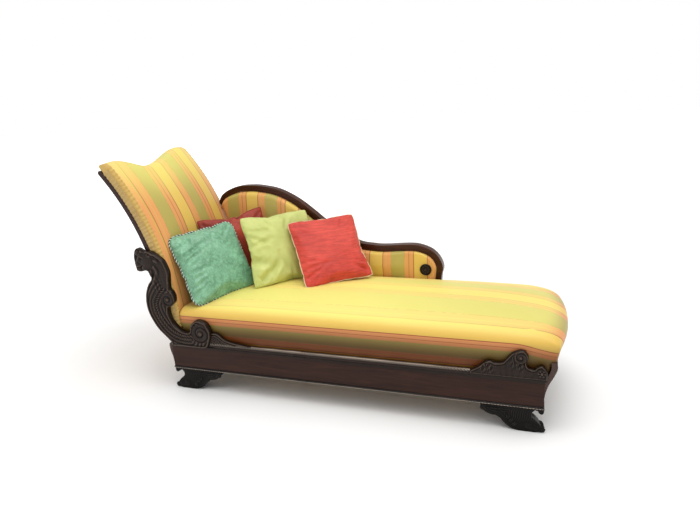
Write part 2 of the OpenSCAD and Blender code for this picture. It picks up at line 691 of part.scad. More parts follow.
// Space under the stuffing, filled by the springs and covered by the burlap
// Insets of the space from the rails and boards: head, foot, front and rear
cavity_in = [120, 90, 44, 52];
cavity_x = [cavity_in[0] - half_l, half_l - cavity_in[1]];
cavity_y = [rail_t + cavity_in[2], web_back_y - back_pad_t - cavity_in[3]];
cavity_slope = 26;
cavity_r = 20;
function cavity_ring(k, z, grow) = [for (p = seat_outline(cavity_x[0] + k * cavity_slope - grow,
    cavity_x[1] - k * cavity_slope + grow, cavity_y[0] + k * cavity_slope - grow,
    cavity_y[1] - k * cavity_slope + grow, cavity_r, cavity_r, cavity_r)) [p[0], p[1], z]];
// Burlap over the springs, with a flange that is tacked to the tops of the rails
flange_lap = rail_t * 0.3;
function flange_ring(z) = [for (p = seat_outline(board_t - half_l + clear, half_l - board_t - clear,
    rail_t - flange_lap, rail_d - rail_t + flange_lap, cavity_r, cavity_r, cavity_r))
    let (q = step_in(p)) [q[0], q[1], z]];
module seat_burlap() {
    low = rail_top + clear;
    rings = [cavity_ring(1, spring_top + clear, 0), cavity_ring(0, low, 0), flange_ring(low),
        flange_ring(low + burlap_t), cavity_ring(0, low + burlap_t, burlap_t),
        cavity_ring(1, spring_top + burlap_t + clear, burlap_t)];
    color(jute) loft(rings);
}
module seat_pad() {
    g = burlap_t + clear;
    outer = [for (w = wall_levels) level_ring(w, face_x(w[0]) + high_inset)];
    rolls = [for (a = roll_steps) roll_ring(a)];
    tops = [for (s = top_shares) top_ring(s)];
    inner = [cavity_ring(1, spring_top + g + clear, g), cavity_ring(0, seat_low, g)];
    color(gold) loft(concat(inner, outer, rolls, tops));
}

// Carved scroll with a lion's head: shares of its length and height, from its lower left corner
scroll_shares = [[0.026, 0.978], [0.077, 1], [0.157, 0.971], [0.211, 0.976], [0.302, 0.954], [0.387, 0.910],
    [0.433, 0.875], [0.470, 0.807], [0.487, 0.749], [0.479, 0.684], [0.473, 0.604], [0.510, 0.569],
    [0.530, 0.519], [0.521, 0.466], [0.470, 0.426], [0.425, 0.409], [0.413, 0.349], [0.442, 0.275],
    [0.493, 0.218], [0.578, 0.165], [0.69, 0.16], [0.72, 0.23], [0.79, 0.285], [0.87, 0.29], [0.95, 0.26],
    [1, 0.19], [1, 0.10], [1, 0], [0.86, 0], [0.60, 0], [0.41, 0], [0.405, 0.035], [0.330, 0.092],
    [0.236, 0.163], [0.165, 0.244], [0.108, 0.347], [0.091, 0.444], [0.108, 0.543], [0.160, 0.633],
    [0.219, 0.690], [0.214, 0.738], [0.168, 0.774], [0.080, 0.763], [0.026, 0.774], [0.006, 0.846],
    [0, 0.912]];
scroll_left = -half_l - scroll_out;
scroll_base = fillet_top + clear;
function on_scroll(s) = [scroll_left + s[0] * scroll_l, scroll_base + s[1] * scroll_h];
scroll_line = held(round_trip([for (s = scroll_shares) on_scroll(s)], 2),
    on_scroll([0, 0]), on_scroll([1, 1]));
upper_eye = on_scroll([0.425, 0.487]);
lower_eye = on_scroll([0.855, 0.155]);
rim = 4;
bevel = 3;
// Radii of each volute at its eye and at its outer turn
upper_r = [8, 33];
lower_r = [12, 48];
rib_w = 2.6;
module relief_of(points, low, high) {
    translate([0, -low, 0]) rotate([90, 0, 0]) linear_extrude(high - low) polygon(points);
}
module boss(c, r, h) {
    translate([c[0], 0, c[1]]) rotate([90, 0, 0]) rotate_extrude() polygon(concat([[0, 0]],
        [for (i = [0:6]) [r * cos(15 * i), h + (r * 0.45) * sin(15 * i)]]));
}
// A ball sunk into the board so that a cap of it stands proud of the face
module ball(s, r, proud) {
    c = on_scroll(s);
    translate([c[0], r - scroll_t - proud, c[1]]) sphere(r);
}
module scroll() {
    difference() {
        union() {
            // The sawn board, bevelled by a smaller layer in front
            plate(scroll_line, rim - scroll_t, 0);
            translate([0, rim - scroll_t, 0]) rotate([90, 0, 0]) linear_extrude(rim / 2)
                offset(delta = -bevel) polygon(scroll_line);
            // Volutes, as spiral ribs around a boss
            relief_of(band(spiral(upper_eye, upper_r[0], upper_r[1], 200, 1.25, 25), -rib_w, rib_w),
                scroll_t - rim, scroll_t + rim / 4);
            relief_of(band(spiral(lower_eye, lower_r[0], lower_r[1], 120, 1.5, 30),
                -1.3 * rib_w, 1.3 * rib_w), scroll_t - rim, scroll_t + rim / 2);
            boss(upper_eye, upper_r[0], scroll_t);
            boss(lower_eye, lower_r[0], scroll_t);
            // Ribs that follow the S between the volutes
            for (k = [0:2]) relief_of(band(through([for (s = rib_shares)
                on_scroll([s[0] + (k - 1) * 0.055, s[1] + (k - 1) * 0.022])], 3), -rib_w, rib_w),
                scroll_t - rim, scroll_t);
            lion_head();
        }
        block([scroll_left - scroll_l, 0, scroll_base],
            [scroll_left + 2 * scroll_l, scroll_t, scroll_base + 2 * scroll_h]);
    }
}
rib_shares = [[0.36, 0.62], [0.28, 0.55], [0.21, 0.45], [0.22, 0.34],
    [0.30, 0.23], [0.42, 0.14], [0.56, 0.09], [0.70, 0.08]];
// The head looks out over the head end. Each ball: place, radius and height proud, as shares of the relief
lion_shares = [[0.235, 0.865, 1.9, 1], [0.125, 0.895, 1.25, 0.85], [0.075, 0.835, 1.1, 0.7],
    [0.12, 0.80, 0.8, 0.5], [0.26, 0.955, 0.75, 0.6], [0.20, 0.885, 0.4, 0.95],
    [0.40, 0.87, 1.35, 0.5], [0.375, 0.795, 1.3, 0.45], [0.35, 0.72, 1.2, 0.4],
    [0.335, 0.925, 1.1, 0.6], [0.295, 0.79, 1.2, 0.7]];
module lion_head() {
    for (b = lion_shares) ball([b[0], b[1]], b[2] * relief, b[3] * relief);
}
module scroll_front() {
    color(mahogany) scroll();
}
module scroll_rear() {
    color(mahogany) rear_side() scroll();
}

// Carved leaf and corner volute at the foot end
leaf_shares = [[0, 0], [0, 0.17], [0.10, 0.32], [0.18, 0.50], [0.25, 0.575], [0.34, 0.52],
    [0.43, 0.565], [0.475, 0.70], [0.55, 0.90], [0.645, 1], [0.71, 0.97], [0.755, 0.78], [0.73, 0.62],
    [0.75, 0.46], [0.82, 0.40], [0.87, 0.50], [0.93, 0.54], [0.985, 0.40], [1, 0.24], [0.96, 0]];
vein_shares = [[0.06, 0.12], [0.22, 0.18], [0.40, 0.24], [0.54, 0.44], [0.61, 0.70]];
// Radii of the leaf's volute at its eye and outer turn, and of its corner ball
leaf_r = [5, 19, 16];
leaf_left = half_l + paw_out - leaf_l;
function on_leaf(s) = [leaf_left + s[0] * leaf_l, fillet_top + clear + s[1] * leaf_h];
module leaf_foot() {
    line = held(round_trip([for (s = leaf_shares) on_leaf(s)], 3), on_leaf([0, 0]), on_leaf([1, 1]));
    plate(line, rim - leaf_t, 0);
    translate([0, rim - leaf_t, 0]) rotate([90, 0, 0]) linear_extrude(rim / 2)
        offset(delta = -bevel) polygon(line);
    relief_of(band(spiral(on_leaf([0.665, 0.78]), leaf_r[0], leaf_r[1], 180, 1.2, 24),
        -0.8 * rib_w, 0.8 * rib_w), leaf_t - rim, leaf_t);
    boss(on_leaf([0.92, 0.30]), leaf_r[2], leaf_t - rim);
    for (k = [0:2]) relief_of(band(through([for (s = vein_shares)
        on_leaf([s[0] + 0.03 * k, s[1] + 0.11 * (1 - k)])], 4), -0.7 * rib_w, 0.7 * rib_w),
        leaf_t - rim, leaf_t - rim / 4);
}
module leaf_foot_front() {
    color(mahogany) leaf_foot();
}
module leaf_foot_rear() {
    color(mahogany) rear_side() leaf_foot();
}

// Small leaf that grows out of the lower volute along the moulding
bud_shares = [[0, 0], [0, 1], [0.12, 1.04], [0.24, 0.80], [0.42, 0.50], [0.62, 0.28], [1, 0.06], [1, 0]];
bud_l = 190;
bud_h = 52;
module leaf_head() {
    left = scroll_left + scroll_l + clear;
    line = [for (s = bud_shares) [left + s[0] * bud_l, mould_top + clear + s[1] * bud_h]];
    bud = concat([line[0]], through([for (i = [1:7]) line[i]], 4));
    plate(held(bud, line[0], line[0] + [bud_l, 2 * bud_h]), -leaf_t * 0.7, 0);
}
module leaf_head_front() {
    color(mahogany) leaf_head();
}
module leaf_head_rear() {
    color(mahogany) rear_side() leaf_head();
}

// Serpentine crest rail, from the headrest over the peak and down round the rosette
crest_shares = [[-0.075, 0.700], [-0.045, 0.812], [-0.013, 0.922], [0.060, 0.986], [0.136, 1],
    [0.196, 0.991], [0.258, 0.970], [0.315, 0.929], [0.369, 0.874], [0.424, 0.802], [0.477, 0.726],
    [0.530, 0.665], [0.584, 0.606], [0.638, 0.561], [0.691, 0.548], [0.744, 0.544], [0.849, 0.557],
    [0.900, 0.552], [0.951, 0.519], [0.984, 0.462], [1, 0.387], [0.992, 0.300], [0.985, 0]];
crest_z0 = rail_top + clear;
function on_crest(s) = [-half_l + s[0] * back_l, lerp(crest_z0, crest_top, s[1])];
crest_line = through([for (s = crest_shares) on_crest(s)], 4);
// Space that the headrest takes, kept free by the back
module headrest_space(grow) {
    plate(band(head_line_at(0, -0.05, 1.1, 30), -grow - 3 * stile_t, pad_face + head_crown * 0.5 + grow),
        -over, rail_d + over);
}
// The outer reed stands furthest forward, the inner one a little less, and the flat between is set back
reed_shares = [0.13, 0.04];
module crest_band(a, b, set_in) {
    plate(held(band(crest_line, a * crest_w, b * crest_w), [-rail_l, crest_z0], [rail_l, crest_top]),
        rail_d - crest_d * (1 - set_in), rail_d);
}
module crest_rail() {
    color(mahogany) difference() {
        union() {
            crest_band(0, 1, reed_shares[0]);
            crest_band(0, 0.3, 0);
            crest_band(0.84, 1, reed_shares[1]);
        }
        headrest_space(clear);
        // Rebate behind the foot, for the rear moulding
        block([0, rail_d - mould_w + mould_out - clear, rail_top],
            [back_end + crest_w, rail_d + over, mould_top + clear]);
    }
}
// Inside the crest rail: base rail, post, webbing, padding and the cover behind
crest_under = beside(crest_line, crest_w + clear);
crest_inside = beside(crest_line, crest_w + 6 * clear);
function crest_z(x) = lookup(x, [for (p = crest_inside) if (p[0] < back_end - crest_w) [p[0], p[1]]]);
panel_right = on_crest(crest_shares[len(crest_shares) - 1])[0] - crest_w - 2 * clear;
panel_low = rail_top + clear;
post_w = 44;
module back_base_rail() {
    color(raw_wood) block([face_x(fillet_top) + clear, panel_y - frame_d / 2, panel_low],
        [panel_right, panel_y + frame_d / 2, panel_low + post_w]);
}
post_x = -half_l + back_l * 0.36;
module back_post() {
    color(raw_wood) difference() {
        block([post_x - post_w / 2, panel_y - frame_d / 2, panel_low + post_w + clear],
            [post_x + post_w / 2, panel_y + frame_d / 2, crest_top]);
        above = [[back_end, crest_top + over], [-half_l - back_l * 0.1, crest_top + over]];
        plate(concat(crest_under, above), 0, rail_d + over);
    }
}
back_webs = 8;
module back_webbing() {
    from = panel_left;
    pitch = (panel_right - from) / back_webs;
    color(jute) for (i = [0:back_webs - 1]) let (x = from + pitch * (i + 0.5), half = web_w / 3)
        plate([[x - half, panel_low], [x + half, panel_low], [x + half, crest_z(x + half) - 2 * clear],
            [x - half, crest_z(x - half) - 2 * clear]],
            web_back_y, web_back_y + web_t);
}
// Padding of the back: columns along the couch, rows up from the seat frame to the crest
rosette_share = [0.928, 0.374];
rosette_at = on_crest(rosette_share);
back_cols = 18;
back_rise = 6;
back_face_x = [for (i = [0:20]) let (z = lerp(fillet_top, crest_top, i / 20)) [z, face_x(z)]];
function back_left(z) = lookup(z, back_face_x) + head_crown * 0.45 * head_fade(head_share(z))
    + 10 * clear;
panel_left = face_x(head_base) + 20 * clear;
function back_point(u, v) = let (
    z_left = lerp(panel_low, crest_z(back_left(crest_top * 0.86)), v),
    x = lerp(back_left(z_left), panel_right, u),
    z = lerp(panel_low, crest_z(x) - 4 * clear, v)) [x, z];
// Thickness of the pad as a share: a short rounded rim, then the crown above the seat
back_rim_shares = [0.012, 0.02];
function back_steps(n, rim) = concat([0, rim, 3 * rim],
    [for (i = [1:n - 1]) lerp(3 * rim, 1 - 3 * rim, i / n)], [1 - 3 * rim, 1 - rim, 1]);
function from_rim(u, share) = min(u, 1 - u) / share / 3;
function back_bulge(u, v, p) = back_crown * smooth((p[1] - seat_edge) / (2 * roll_h))
    * pow(clamp(5 * u * (1 - u)), 0.5) * pow(clamp(5 * (1 - v)), 0.5)
    * smooth((rosette_at[0] - 3.2 * rosette_r - p[0]) / (3 * rosette_r));
function back_thick(u, v, p) =
    let (e = min(from_rim(u, back_rim_shares[0]), from_rim(v, back_rim_shares[1])))
    back_pad_t * sqrt(clamp(e * (2 - min(e, 1)))) + back_bulge(u, v, p) * clamp(e);
function back_row(v, front) = [for (u = back_steps(back_cols, back_rim_shares[0]))
    let (p = back_point(u, v)) [p[0], web_back_y - clear - (front ? back_thick(u, v, p) : 0), p[1]]];
function back_grid(front) = [for (v = back_steps(back_rise, back_rim_shares[1])) back_row(v, front)];
module back_pad() {
    color(gold) slab(back_grid(true), back_grid(false));
}
module back_cover() {
    side = [for (r = [0:back_rise]) back_point(0, r / back_rise)];
    top = [for (c = [1:3 * back_cols]) back_point(c / back_cols / 3, 1)];
    y = panel_y + frame_d / 2 + clear;
    color(olive) plate(concat([[panel_right, panel_low]], side, top), y, y + cover_t);
}
// Turned rosette at the centre of the small end
module back_rosette() {
    y = web_back_y - back_pad_t - 2 * clear;
    profile = [[0, 0], [1, 0], [1, 0.35], [0.86, 0.62], [0.66, 0.55], [0.52, 0.72], [0.30, 0.95], [0, 1]];
    color(mahogany) translate([rosette_at[0], y, rosette_at[1]]) rotate([90, 0, 0])
        rotate_extrude() polygon(sized(profile, [rosette_r, rosette_t]));
}

// Loose pillows: square, crowned, with sides drawn in between sharp corners
pillow_n = 10;
draw_in = 0.045;
// Each pillow: place along and across the rails, then its turn, backward lean and roll as shares of a right angle
teal_shares = [-0.411, 0.301, 0.649, 0.305, -0.059];
rust_shares = [-0.401, 0.635, 0.511, 0.18, -0.061];
lime_shares = [-0.2545, 0.623, 0.536, 0.276, 0.008];
coral_shares = [-0.110, 0.700, 0.444, 0.425, -0.022];
function turn(p) = let (a = 90 * p[2], b = 90 * p[3], c = 90 * p[4])
    [[cos(a), -sin(a), 0], [sin(a), cos(a), 0], [0, 0, 1]]
    * [[1, 0, 0], [0, cos(b), sin(b)], [0, -sin(b), cos(b)]]
    * [[cos(c), 0, sin(c)], [0, 1, 0], [-sin(c), 0, cos(c)]];
function puffed(s, u, v, sign) = let (puff = pow((1 - pow(abs(u), 2.5)) * (1 - pow(abs(v), 2.5)), 0.72))
    [s / 2 * u * (1 - draw_in * u * u * (1 - v * v)), sign * pillow_t / 2 * puff,
        s / 2 * v * (1 - draw_in * v * v * (1 - u * u))];
function spaced(i) = let (t = 2 * i / pillow_n - 1) sin(90 * t);
function pillow_grid(side, p, sign) = let (m = turn(p)) [for (r = [0:pillow_n]) [for (c = [0:pillow_n])
    m * puffed(side, spaced(c), spaced(r), sign) + [p[0] * rail_l, p[1] * rail_d, 0]]];
function lowest(grid) = max([for (r = grid) for (q = r) seat_skin(q[0], q[1]) - q[2]]) + clear / 3;
module pillow(side, p) {
    front = pillow_grid(side, p, -1);
    back = pillow_grid(side, p, 1);
    translate([0, 0, max(lowest(front), lowest(back))]) slab(front, back);
}
module pillow_teal() {
    color(teal) pillow(teal_side, teal_shares);
}
module pillow_rust() {
    color(rust) pillow(rust_side, rust_shares);
}
module pillow_lime() {
    color(lime) pillow(lime_side, lime_shares);
}
module pillow_coral() {
    color(coral) pillow(coral_side, coral_shares);
}

set() front_rail();
set() rear_rail();
set() head_board();
set() foot_board();
set() front_bead();
set() rear_bead();
set() front_moulding();
set() rear_moulding();
set() corner_blocks();
set() cross_stretchers();
set() foot_dowels();
set() paw_front_left();
set() paw_front_right();
set() paw_rear_left();
set() paw_rear_right();
set() seat_webbing();
set() seat_springs();
set() seat_burlap();
set() seat_pad();
set() scroll_front();
set() scroll_rear();
set() leaf_foot_front();
set() leaf_foot_rear();
set() leaf_head_front();
set() leaf_head_rear();
set() stile_front();
set() stile_rear();
set() headrest_top_rail();
set() headrest_cross_rail();
set() headrest_base_rail();
set() headrest_webbing();
set() headrest_pad();
set() border_front();
set() border_rear();
set() headrest_cover();
set() crest_rail();
set() back_base_rail();
set() back_post();
set() back_webbing();
set() back_pad();
set() back_cover();
set() back_rosette();
set() pillow_teal();
set() pillow_rust();
set() pillow_lime();
set() pillow_coral();
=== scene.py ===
"""Looks of a fainting couch: carved mahogany, striped upholstery and four loose pillows."""

import json
import math

import bmesh
import bpy
import numpy as np
from mathutils import Matrix, Vector
from mathutils.geometry import delaunay_2d_cdt


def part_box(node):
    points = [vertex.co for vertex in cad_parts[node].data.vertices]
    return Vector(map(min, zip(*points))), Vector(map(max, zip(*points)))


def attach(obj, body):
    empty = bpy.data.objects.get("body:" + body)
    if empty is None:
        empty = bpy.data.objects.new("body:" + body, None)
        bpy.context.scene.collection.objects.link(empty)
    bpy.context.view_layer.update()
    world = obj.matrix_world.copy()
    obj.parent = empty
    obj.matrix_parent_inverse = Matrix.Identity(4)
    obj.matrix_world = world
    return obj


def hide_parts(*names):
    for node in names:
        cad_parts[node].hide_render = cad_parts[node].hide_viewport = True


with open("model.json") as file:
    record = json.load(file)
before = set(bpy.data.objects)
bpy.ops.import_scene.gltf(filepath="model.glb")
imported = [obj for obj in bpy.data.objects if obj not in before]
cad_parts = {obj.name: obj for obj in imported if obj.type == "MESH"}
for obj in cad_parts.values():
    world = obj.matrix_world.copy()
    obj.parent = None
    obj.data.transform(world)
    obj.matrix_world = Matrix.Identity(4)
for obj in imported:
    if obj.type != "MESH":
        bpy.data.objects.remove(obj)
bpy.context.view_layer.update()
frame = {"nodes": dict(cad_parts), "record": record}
scene = bpy.context.scene
nodes = frame["nodes"]

# Named sizes, in millimetres, as in the construction
rail_l, rail_d, rail_t = 1650, 650, 28
half_l, mid_y = rail_l / 2, rail_d / 2
floor_gap, rail_h, fillet_h, mould_h = 115, 99, 12, 22
rail_top = floor_gap + rail_h
fillet_top = rail_top + fillet_h
mould_top = fillet_top + mould_h
mould_out, mould_w = 8, 18
bead_h, bead_out, bead_w = 10, 5, 14
clear = 0.3
stile_top, head_overhang, stile_t, stile_w = 1014, 267, 21, 42
head_pad, head_crown, head_scoop, hump_share = 38, 28, 48, 0.09
head_rise, head_lift, dip_share = 9, 24, 0.37
seat_edge, seat_crown, foot_bulge, foot_bow = 398, 50, 90, 45
roll_h, roll_w, roll_foot, board_t, foot_flare, foot_rise = 42, 44, 105, 22, 43, 112
crest_top, back_l, crest_w, crest_d = 880, 1173, 31, 46
back_pad_t, back_crown, rosette_r, rosette_t = 20, 16, 29, 12
scroll_l, scroll_h, scroll_out = 351, 461, 126
leaf_l, leaf_h, bud_l, bud_h = 288, 122, 216, 52
paw_l, paw_d, paw_out = 250, 84, 9
paw_top = floor_gap - bead_h - 2 * clear

# The couch's own frame: x from the middle of the rails, y from the front rail's face
rail_low, rail_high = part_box("front_rail")
origin = np.array([(rail_low.x + rail_high.x) / 2, rail_low.y, 0.0])


def place(points):
    """Millimetres in the couch's own frame to metres in the scene."""
    return np.asarray(points, float) * 0.001 + origin


def smooth(v):
    """A soft step from 0 to 1."""
    s = np.clip(v, 0, 1)
    return s * s * (3 - 2 * s)


def lerp(a, b, t):
    return a + (b - a) * t


def bell(v, width):
    """A soft bump of height 1 round zero."""
    return np.exp(-(v / width) ** 2)


def dome(v):
    """A quarter circle, from 1 at zero down to 0 at one."""
    return np.sqrt(np.clip(1 - v ** 2, 0, 1))


def span_of(a, b, c, d, steps):
    """Points of a smooth line from b up to c, whose neighbours are a and d."""
    t = (np.arange(steps) / steps)[:, None]
    return 0.5 * (2 * b + (c - a) * t + (2 * a - 5 * b + 4 * c - d) * t * t
                  + (3 * b - a - 3 * c + d) * t ** 3)


def through(points, steps):
    """A smooth line through chosen points."""
    p = np.asarray(points, float)
    q = np.vstack([p[:1], p, p[-1:]])
    return np.vstack([span_of(*q[i:i + 4], steps) for i in range(len(p) - 1)] + [p[-1:]])


def round_trip(points, steps):
    """The same for a closed outline."""
    p = np.asarray(points, float)
    q = np.vstack([p[-1:], p, p[:2]])
    return np.vstack([span_of(*q[i:i + 4], steps) for i in range(len(p))])


def ripple(x, y, seed, octaves=3):
    """Soft waves without a visible repeat, from -1 to 1."""
    rng = np.random.default_rng(seed)
    total = np.zeros(np.broadcast(x, y).shape)
    weight = 0.0
    for k in range(octaves):
        for _ in range(4):
            a = rng.uniform(0, 2 * np.pi)
            f = (1.7 ** k) * rng.uniform(0.7, 1.3)
            total = total + np.sin((np.cos(a) * x + np.sin(a) * y) * f + rng.uniform(0, 6.28)) / (1.5 ** k)
            weight += 0.5 / (1.5 ** k)
    return total / weight / 2


# Meshes
def linked(name, data):
    """A new object in the scene."""
    o = bpy.data.objects.new(name, data)
    scene.collection.objects.link(o)
    return o


def evaluated(o):
    """The object as its modifiers leave it."""
    return o.evaluated_get(bpy.context.evaluated_depsgraph_get())


def mesh_piece(name, verts, faces, attributes=None, shade=True):
    """A mesh object from millimetre points, with point attributes."""
    me = bpy.data.meshes.new(name)
    me.from_pydata([tuple(v) for v in place(verts)], [], [tuple(int(i) for i in f) for f in faces])
    me.update()
    for key, values in (attributes or {}).items():
        layer = me.attributes.new(key, "FLOAT", "POINT")
        layer.data.foreach_set("value", np.asarray(values, np.float32))
    if shade:
        me.polygons.foreach_set("use_smooth", [True] * len(me.polygons))
    return linked(name, me)


def loft_faces(rows, cols, close_cols=True):
    """Faces of a grid of points."""
    faces = []
    span = cols if close_cols else cols - 1
    for r in range(rows - 1):
        for c in range(span):
            a, b = r * cols + c, r * cols + (c + 1) % cols
            faces.append((a, b, b + cols, a + cols))
    return faces


def bar_faces(rows, cols):
    """Faces of a closed section drawn along, with both ends."""
    ends = [tuple(range(cols)), tuple((rows - 1) * cols + i for i in range(cols - 1, -1, -1))]
    return loft_faces(rows, cols) + ends


def edges_of(faces):
    """Each edge once, as a pair of points."""
    pairs = {tuple(sorted((f[i], f[(i + 1) % len(f)]))) for f in faces for i in range(len(f))}
    return np.array(sorted(pairs))


def both_skins(rows, cols):
    """Faces of an open grid of points and of a second one behind it, which faces the other way."""
    front = loft_faces(rows, cols, False)
    return front + [tuple(i + rows * cols for i in f[::-1]) for f in front]


def rim_of(rows, cols):
    """Places of the points round the edge of a grid."""
    size = rows * cols
    return [*range(cols), *range(2 * cols - 1, size, cols), *range(size - 2, size - cols - 1, -1),
            *range(size - 2 * cols, 0, -cols)]


def cloth_faces(rows, cols):
    """Both skins of a sheet, and the band round its edge."""
    size, ring = rows * cols, rim_of(rows, cols)
    return both_skins(rows, cols) + [(b, a, a + size, b + size) for a, b in zip(ring, ring[1:] + ring[:1])]


def outward(o, joined=False, cap=0):
    """Turns the faces outwards, after a cap on the first points and a joining of doubles where asked."""
    bm = bmesh.new()
    bm.from_mesh(o.data)
    if cap:
        bm.verts.ensure_lookup_table()
        bm.faces.new([bm.verts[i] for i in range(cap)]).smooth = True
    if joined:
        bmesh.ops.remove_doubles(bm, verts=bm.verts, dist=1e-6)
    bmesh.ops.recalc_face_normals(bm, faces=bm.faces)
    bm.to_mesh(o.data)
    bm.free()
    return o


def modifier(o, kind, **settings):
    """Adds a modifier with its settings."""
    m = o.modifiers.new(kind.lower(), kind)
    for k, v in settings.items():
        setattr(m, k, v)
    return m


# Materials
class Paint:
    """A small helper that wires a node material."""

    def __init__(self, name):
        self.m = bpy.data.materials.new(name)
        self.m.use_nodes = True
        self.t = self.m.node_tree
        self.t.nodes.clear()
        self.out = self.t.nodes.new("ShaderNodeOutputMaterial")
        self.shader = self.t.nodes.new("ShaderNodeBsdfPrincipled")
        self.t.links.new(self.shader.outputs[0], self.out.inputs["Surface"])

    def node(self, kind, **settings):
        n = self.t.nodes.new("ShaderNode" + kind)
        for k, v in settings.items():
            setattr(n, k, v)
        return n

    def put(self, value, socket):
        if isinstance(value, bpy.types.NodeSocket):
            self.t.links.new(value, socket)
        else:
            socket.default_value = value

    def math(self, op, a, b=None, clamp=False):
        n = self.node("Math", operation=op, use_clamp=clamp)
        self.put(a, n.inputs[0])
        if b is not None:
            self.put(b, n.inputs[1])
        return n.outputs[0]

    def times(self, a, b):
        return self.math("MULTIPLY", a, b)

    def plus(self, a, b):
        return self.math("ADD", a, b)

    def less(self, a, b, clamp=False):
        return self.math("SUBTRACT", a, b, clamp)

    def coords(self, scale=(1, 1, 1)):
        c = self.node("TexCoord")
        m = self.node("Mapping")
        m.inputs["Scale"].default_value = scale
        self.t.links.new(c.outputs["Object"], m.inputs["Vector"])
        return m.outputs[0]

    def fed(self, n, **values):
        """Gives a node its inputs."""
        for key, value in values.items():
            self.put(value, n.inputs[key])
        return n

    def noise(self, vector, scale, detail=4, rough=0.55, distort=0.0):
        n = self.node("TexNoise")
        self.fed(n, Vector=vector, Scale=scale, Detail=detail, Roughness=rough, Distortion=distort)
        return n.outputs["Fac"]

    def wave(self, vector, scale, axis="X", distort=0.0):
        n = self.node("TexWave", wave_type="BANDS", bands_direction=axis)
        return self.fed(n, Vector=vector, Scale=scale, Distortion=distort).outputs["Fac"]

    def ramp(self, value, stops):
        n = self.node("ValToRGB")
        e = n.color_ramp.elements
        while len(e) < len(stops):
            e.new(0.5)
        for item, (at, colour) in zip(e, stops):
            item.position = at
            item.color = (*colour, 1)
        self.put(value, n.inputs[0])
        return n.outputs[0]

    def mix(self, factor, a, b, blend="MIX"):
        n = self.node("Mix", data_type="RGBA", blend_type=blend)
        self.put(factor, n.inputs[0])
        for v, i in ((a, 6), (b, 7)):
            self.put(v if isinstance(v, bpy.types.NodeSocket) else (*v, 1), n.inputs[i])
        return n.outputs[2]

    def attribute(self, name):
        return self.node("Attribute", attribute_name=name).outputs["Fac"]

    def bump(self, height, strength, distance):
        return self.fed(self.node("Bump"), Strength=strength, Distance=distance, Height=height).outputs[0]

    def finish(self, colour, rough, normal=None, **fixed):
        self.put(colour, self.shader.inputs["Base Color"])
        self.put(rough, self.shader.inputs["Roughness"])
        if normal is not None:
            self.put(normal, self.shader.inputs["Normal"])
        for k, v in fixed.items():
            self.shader.inputs[k.replace("_", " ")].default_value = v
        return self.m


def srgb(r, g, b):
    """A colour on the 0 to 255 scale, made linear."""
    return tuple(((v / 255) / 12.92) if v / 255 <= 0.04045 else ((v / 255 + 0.055) / 1.055) ** 2.4
                 for v in (r, g, b))


BLACK, WHITE = (0, 0, 0), (1, 1, 1)


def along_grain(axis, across, along):
    """Texture scale, fine across the grain and long along it."""
    return tuple(along if i == axis else across for i in range(3))


def wood(name, dark, light, axis=0, gloss=0.32, coat=0.2, carved=False, worn_lit_colour=(112, 92, 78), worn_lit_share=0.42,
         shine=0.15):
    """Stained and polished wood; carved wood is dark in its hollows, lighter on its high places by wear and
    painted highlight.
    """
    p = Paint(name)
    v = p.coords(along_grain(axis, 14.0, 1.1))
    broad = p.noise(v, 3.2, 6, 0.62, 1.2)
    fine = p.noise(v, 16, 3, 0.7)
    grain = p.plus(p.times(broad, 0.72), p.times(fine, 0.28))
    colour = p.ramp(grain, [(0.30, dark), (0.52, lerp(np.array(dark), np.array(light), 0.5)), (0.72, light)])
    cloud = p.noise(p.coords(), 5, 3)
    if carved:
        relief = p.attribute("relief")
        colour = p.mix(p.ramp(relief, [(0.28, WHITE), (0.50, BLACK)]), colour, srgb(9, 6, 5))
        # High places lighter: worn polish together with a painted highlight
        worn_lit = p.times(p.ramp(relief, [(0.58, BLACK), (0.92, WHITE)]), worn_lit_share)
        colour = p.mix(worn_lit, colour, srgb(*worn_lit_colour))
    rough = p.plus(p.times(cloud, 0.16), gloss - 0.08)
    normal = p.bump(fine, 0.05, 0.0004)
    return p.finish(colour, rough, normal, Coat_Weight=coat, Coat_Roughness=0.15, Specular_IOR_Level=shine)


def bare(name, dark, light, axis=0):
    """Unstained wood of the inner frame."""
    p = Paint(name)
    grain = p.noise(p.coords(along_grain(axis, 22.0, 1.3)), 3.5, 6, 0.6, 0.8)
    colour = p.ramp(grain, [(0.3, dark), (0.7, light)])
    return p.finish(colour, 0.78, p.bump(grain, 0.25, 0.0008))


def weave_of(p, thread=520.0):
    """Height of a plain weave, from threads along each axis."""
    v = p.coords()
    a, b, c = (p.wave(v, thread, axis, 0.6) for axis in "XYZ")
    return p.math("MAXIMUM", p.math("MAXIMUM", a, b), c)


GOLD, LINE, SALMON, OLIVE = srgb(222, 186, 92), srgb(160, 84, 54), srgb(220, 150, 94), srgb(174, 160, 86)
STRAW, LIT_PALE, GATHER = srgb(212, 172, 100), srgb(244, 238, 136), srgb(196, 164, 92)
# One repeat of the stripes; the dark picks lie to both sides of the olive band's middle
OLIVE_MIDDLE, PICK_AWAY = 0.621, 0.155
BANDS = [
    (0.000, GOLD), (0.270, GOLD), (0.278, LINE), (0.288, LINE), (0.296, SALMON), (0.352, SALMON),
    (0.356, STRAW), (0.366, STRAW), (0.370, SALMON), (0.462, SALMON), (0.478, OLIVE), (0.765, OLIVE),
    (0.780, SALMON), (0.862, SALMON), (0.866, LINE), (0.874, LINE), (0.878, SALMON), (0.962, SALMON),
    (0.970, LINE), (0.982, LINE), (0.990, GOLD), (1.000, GOLD)]


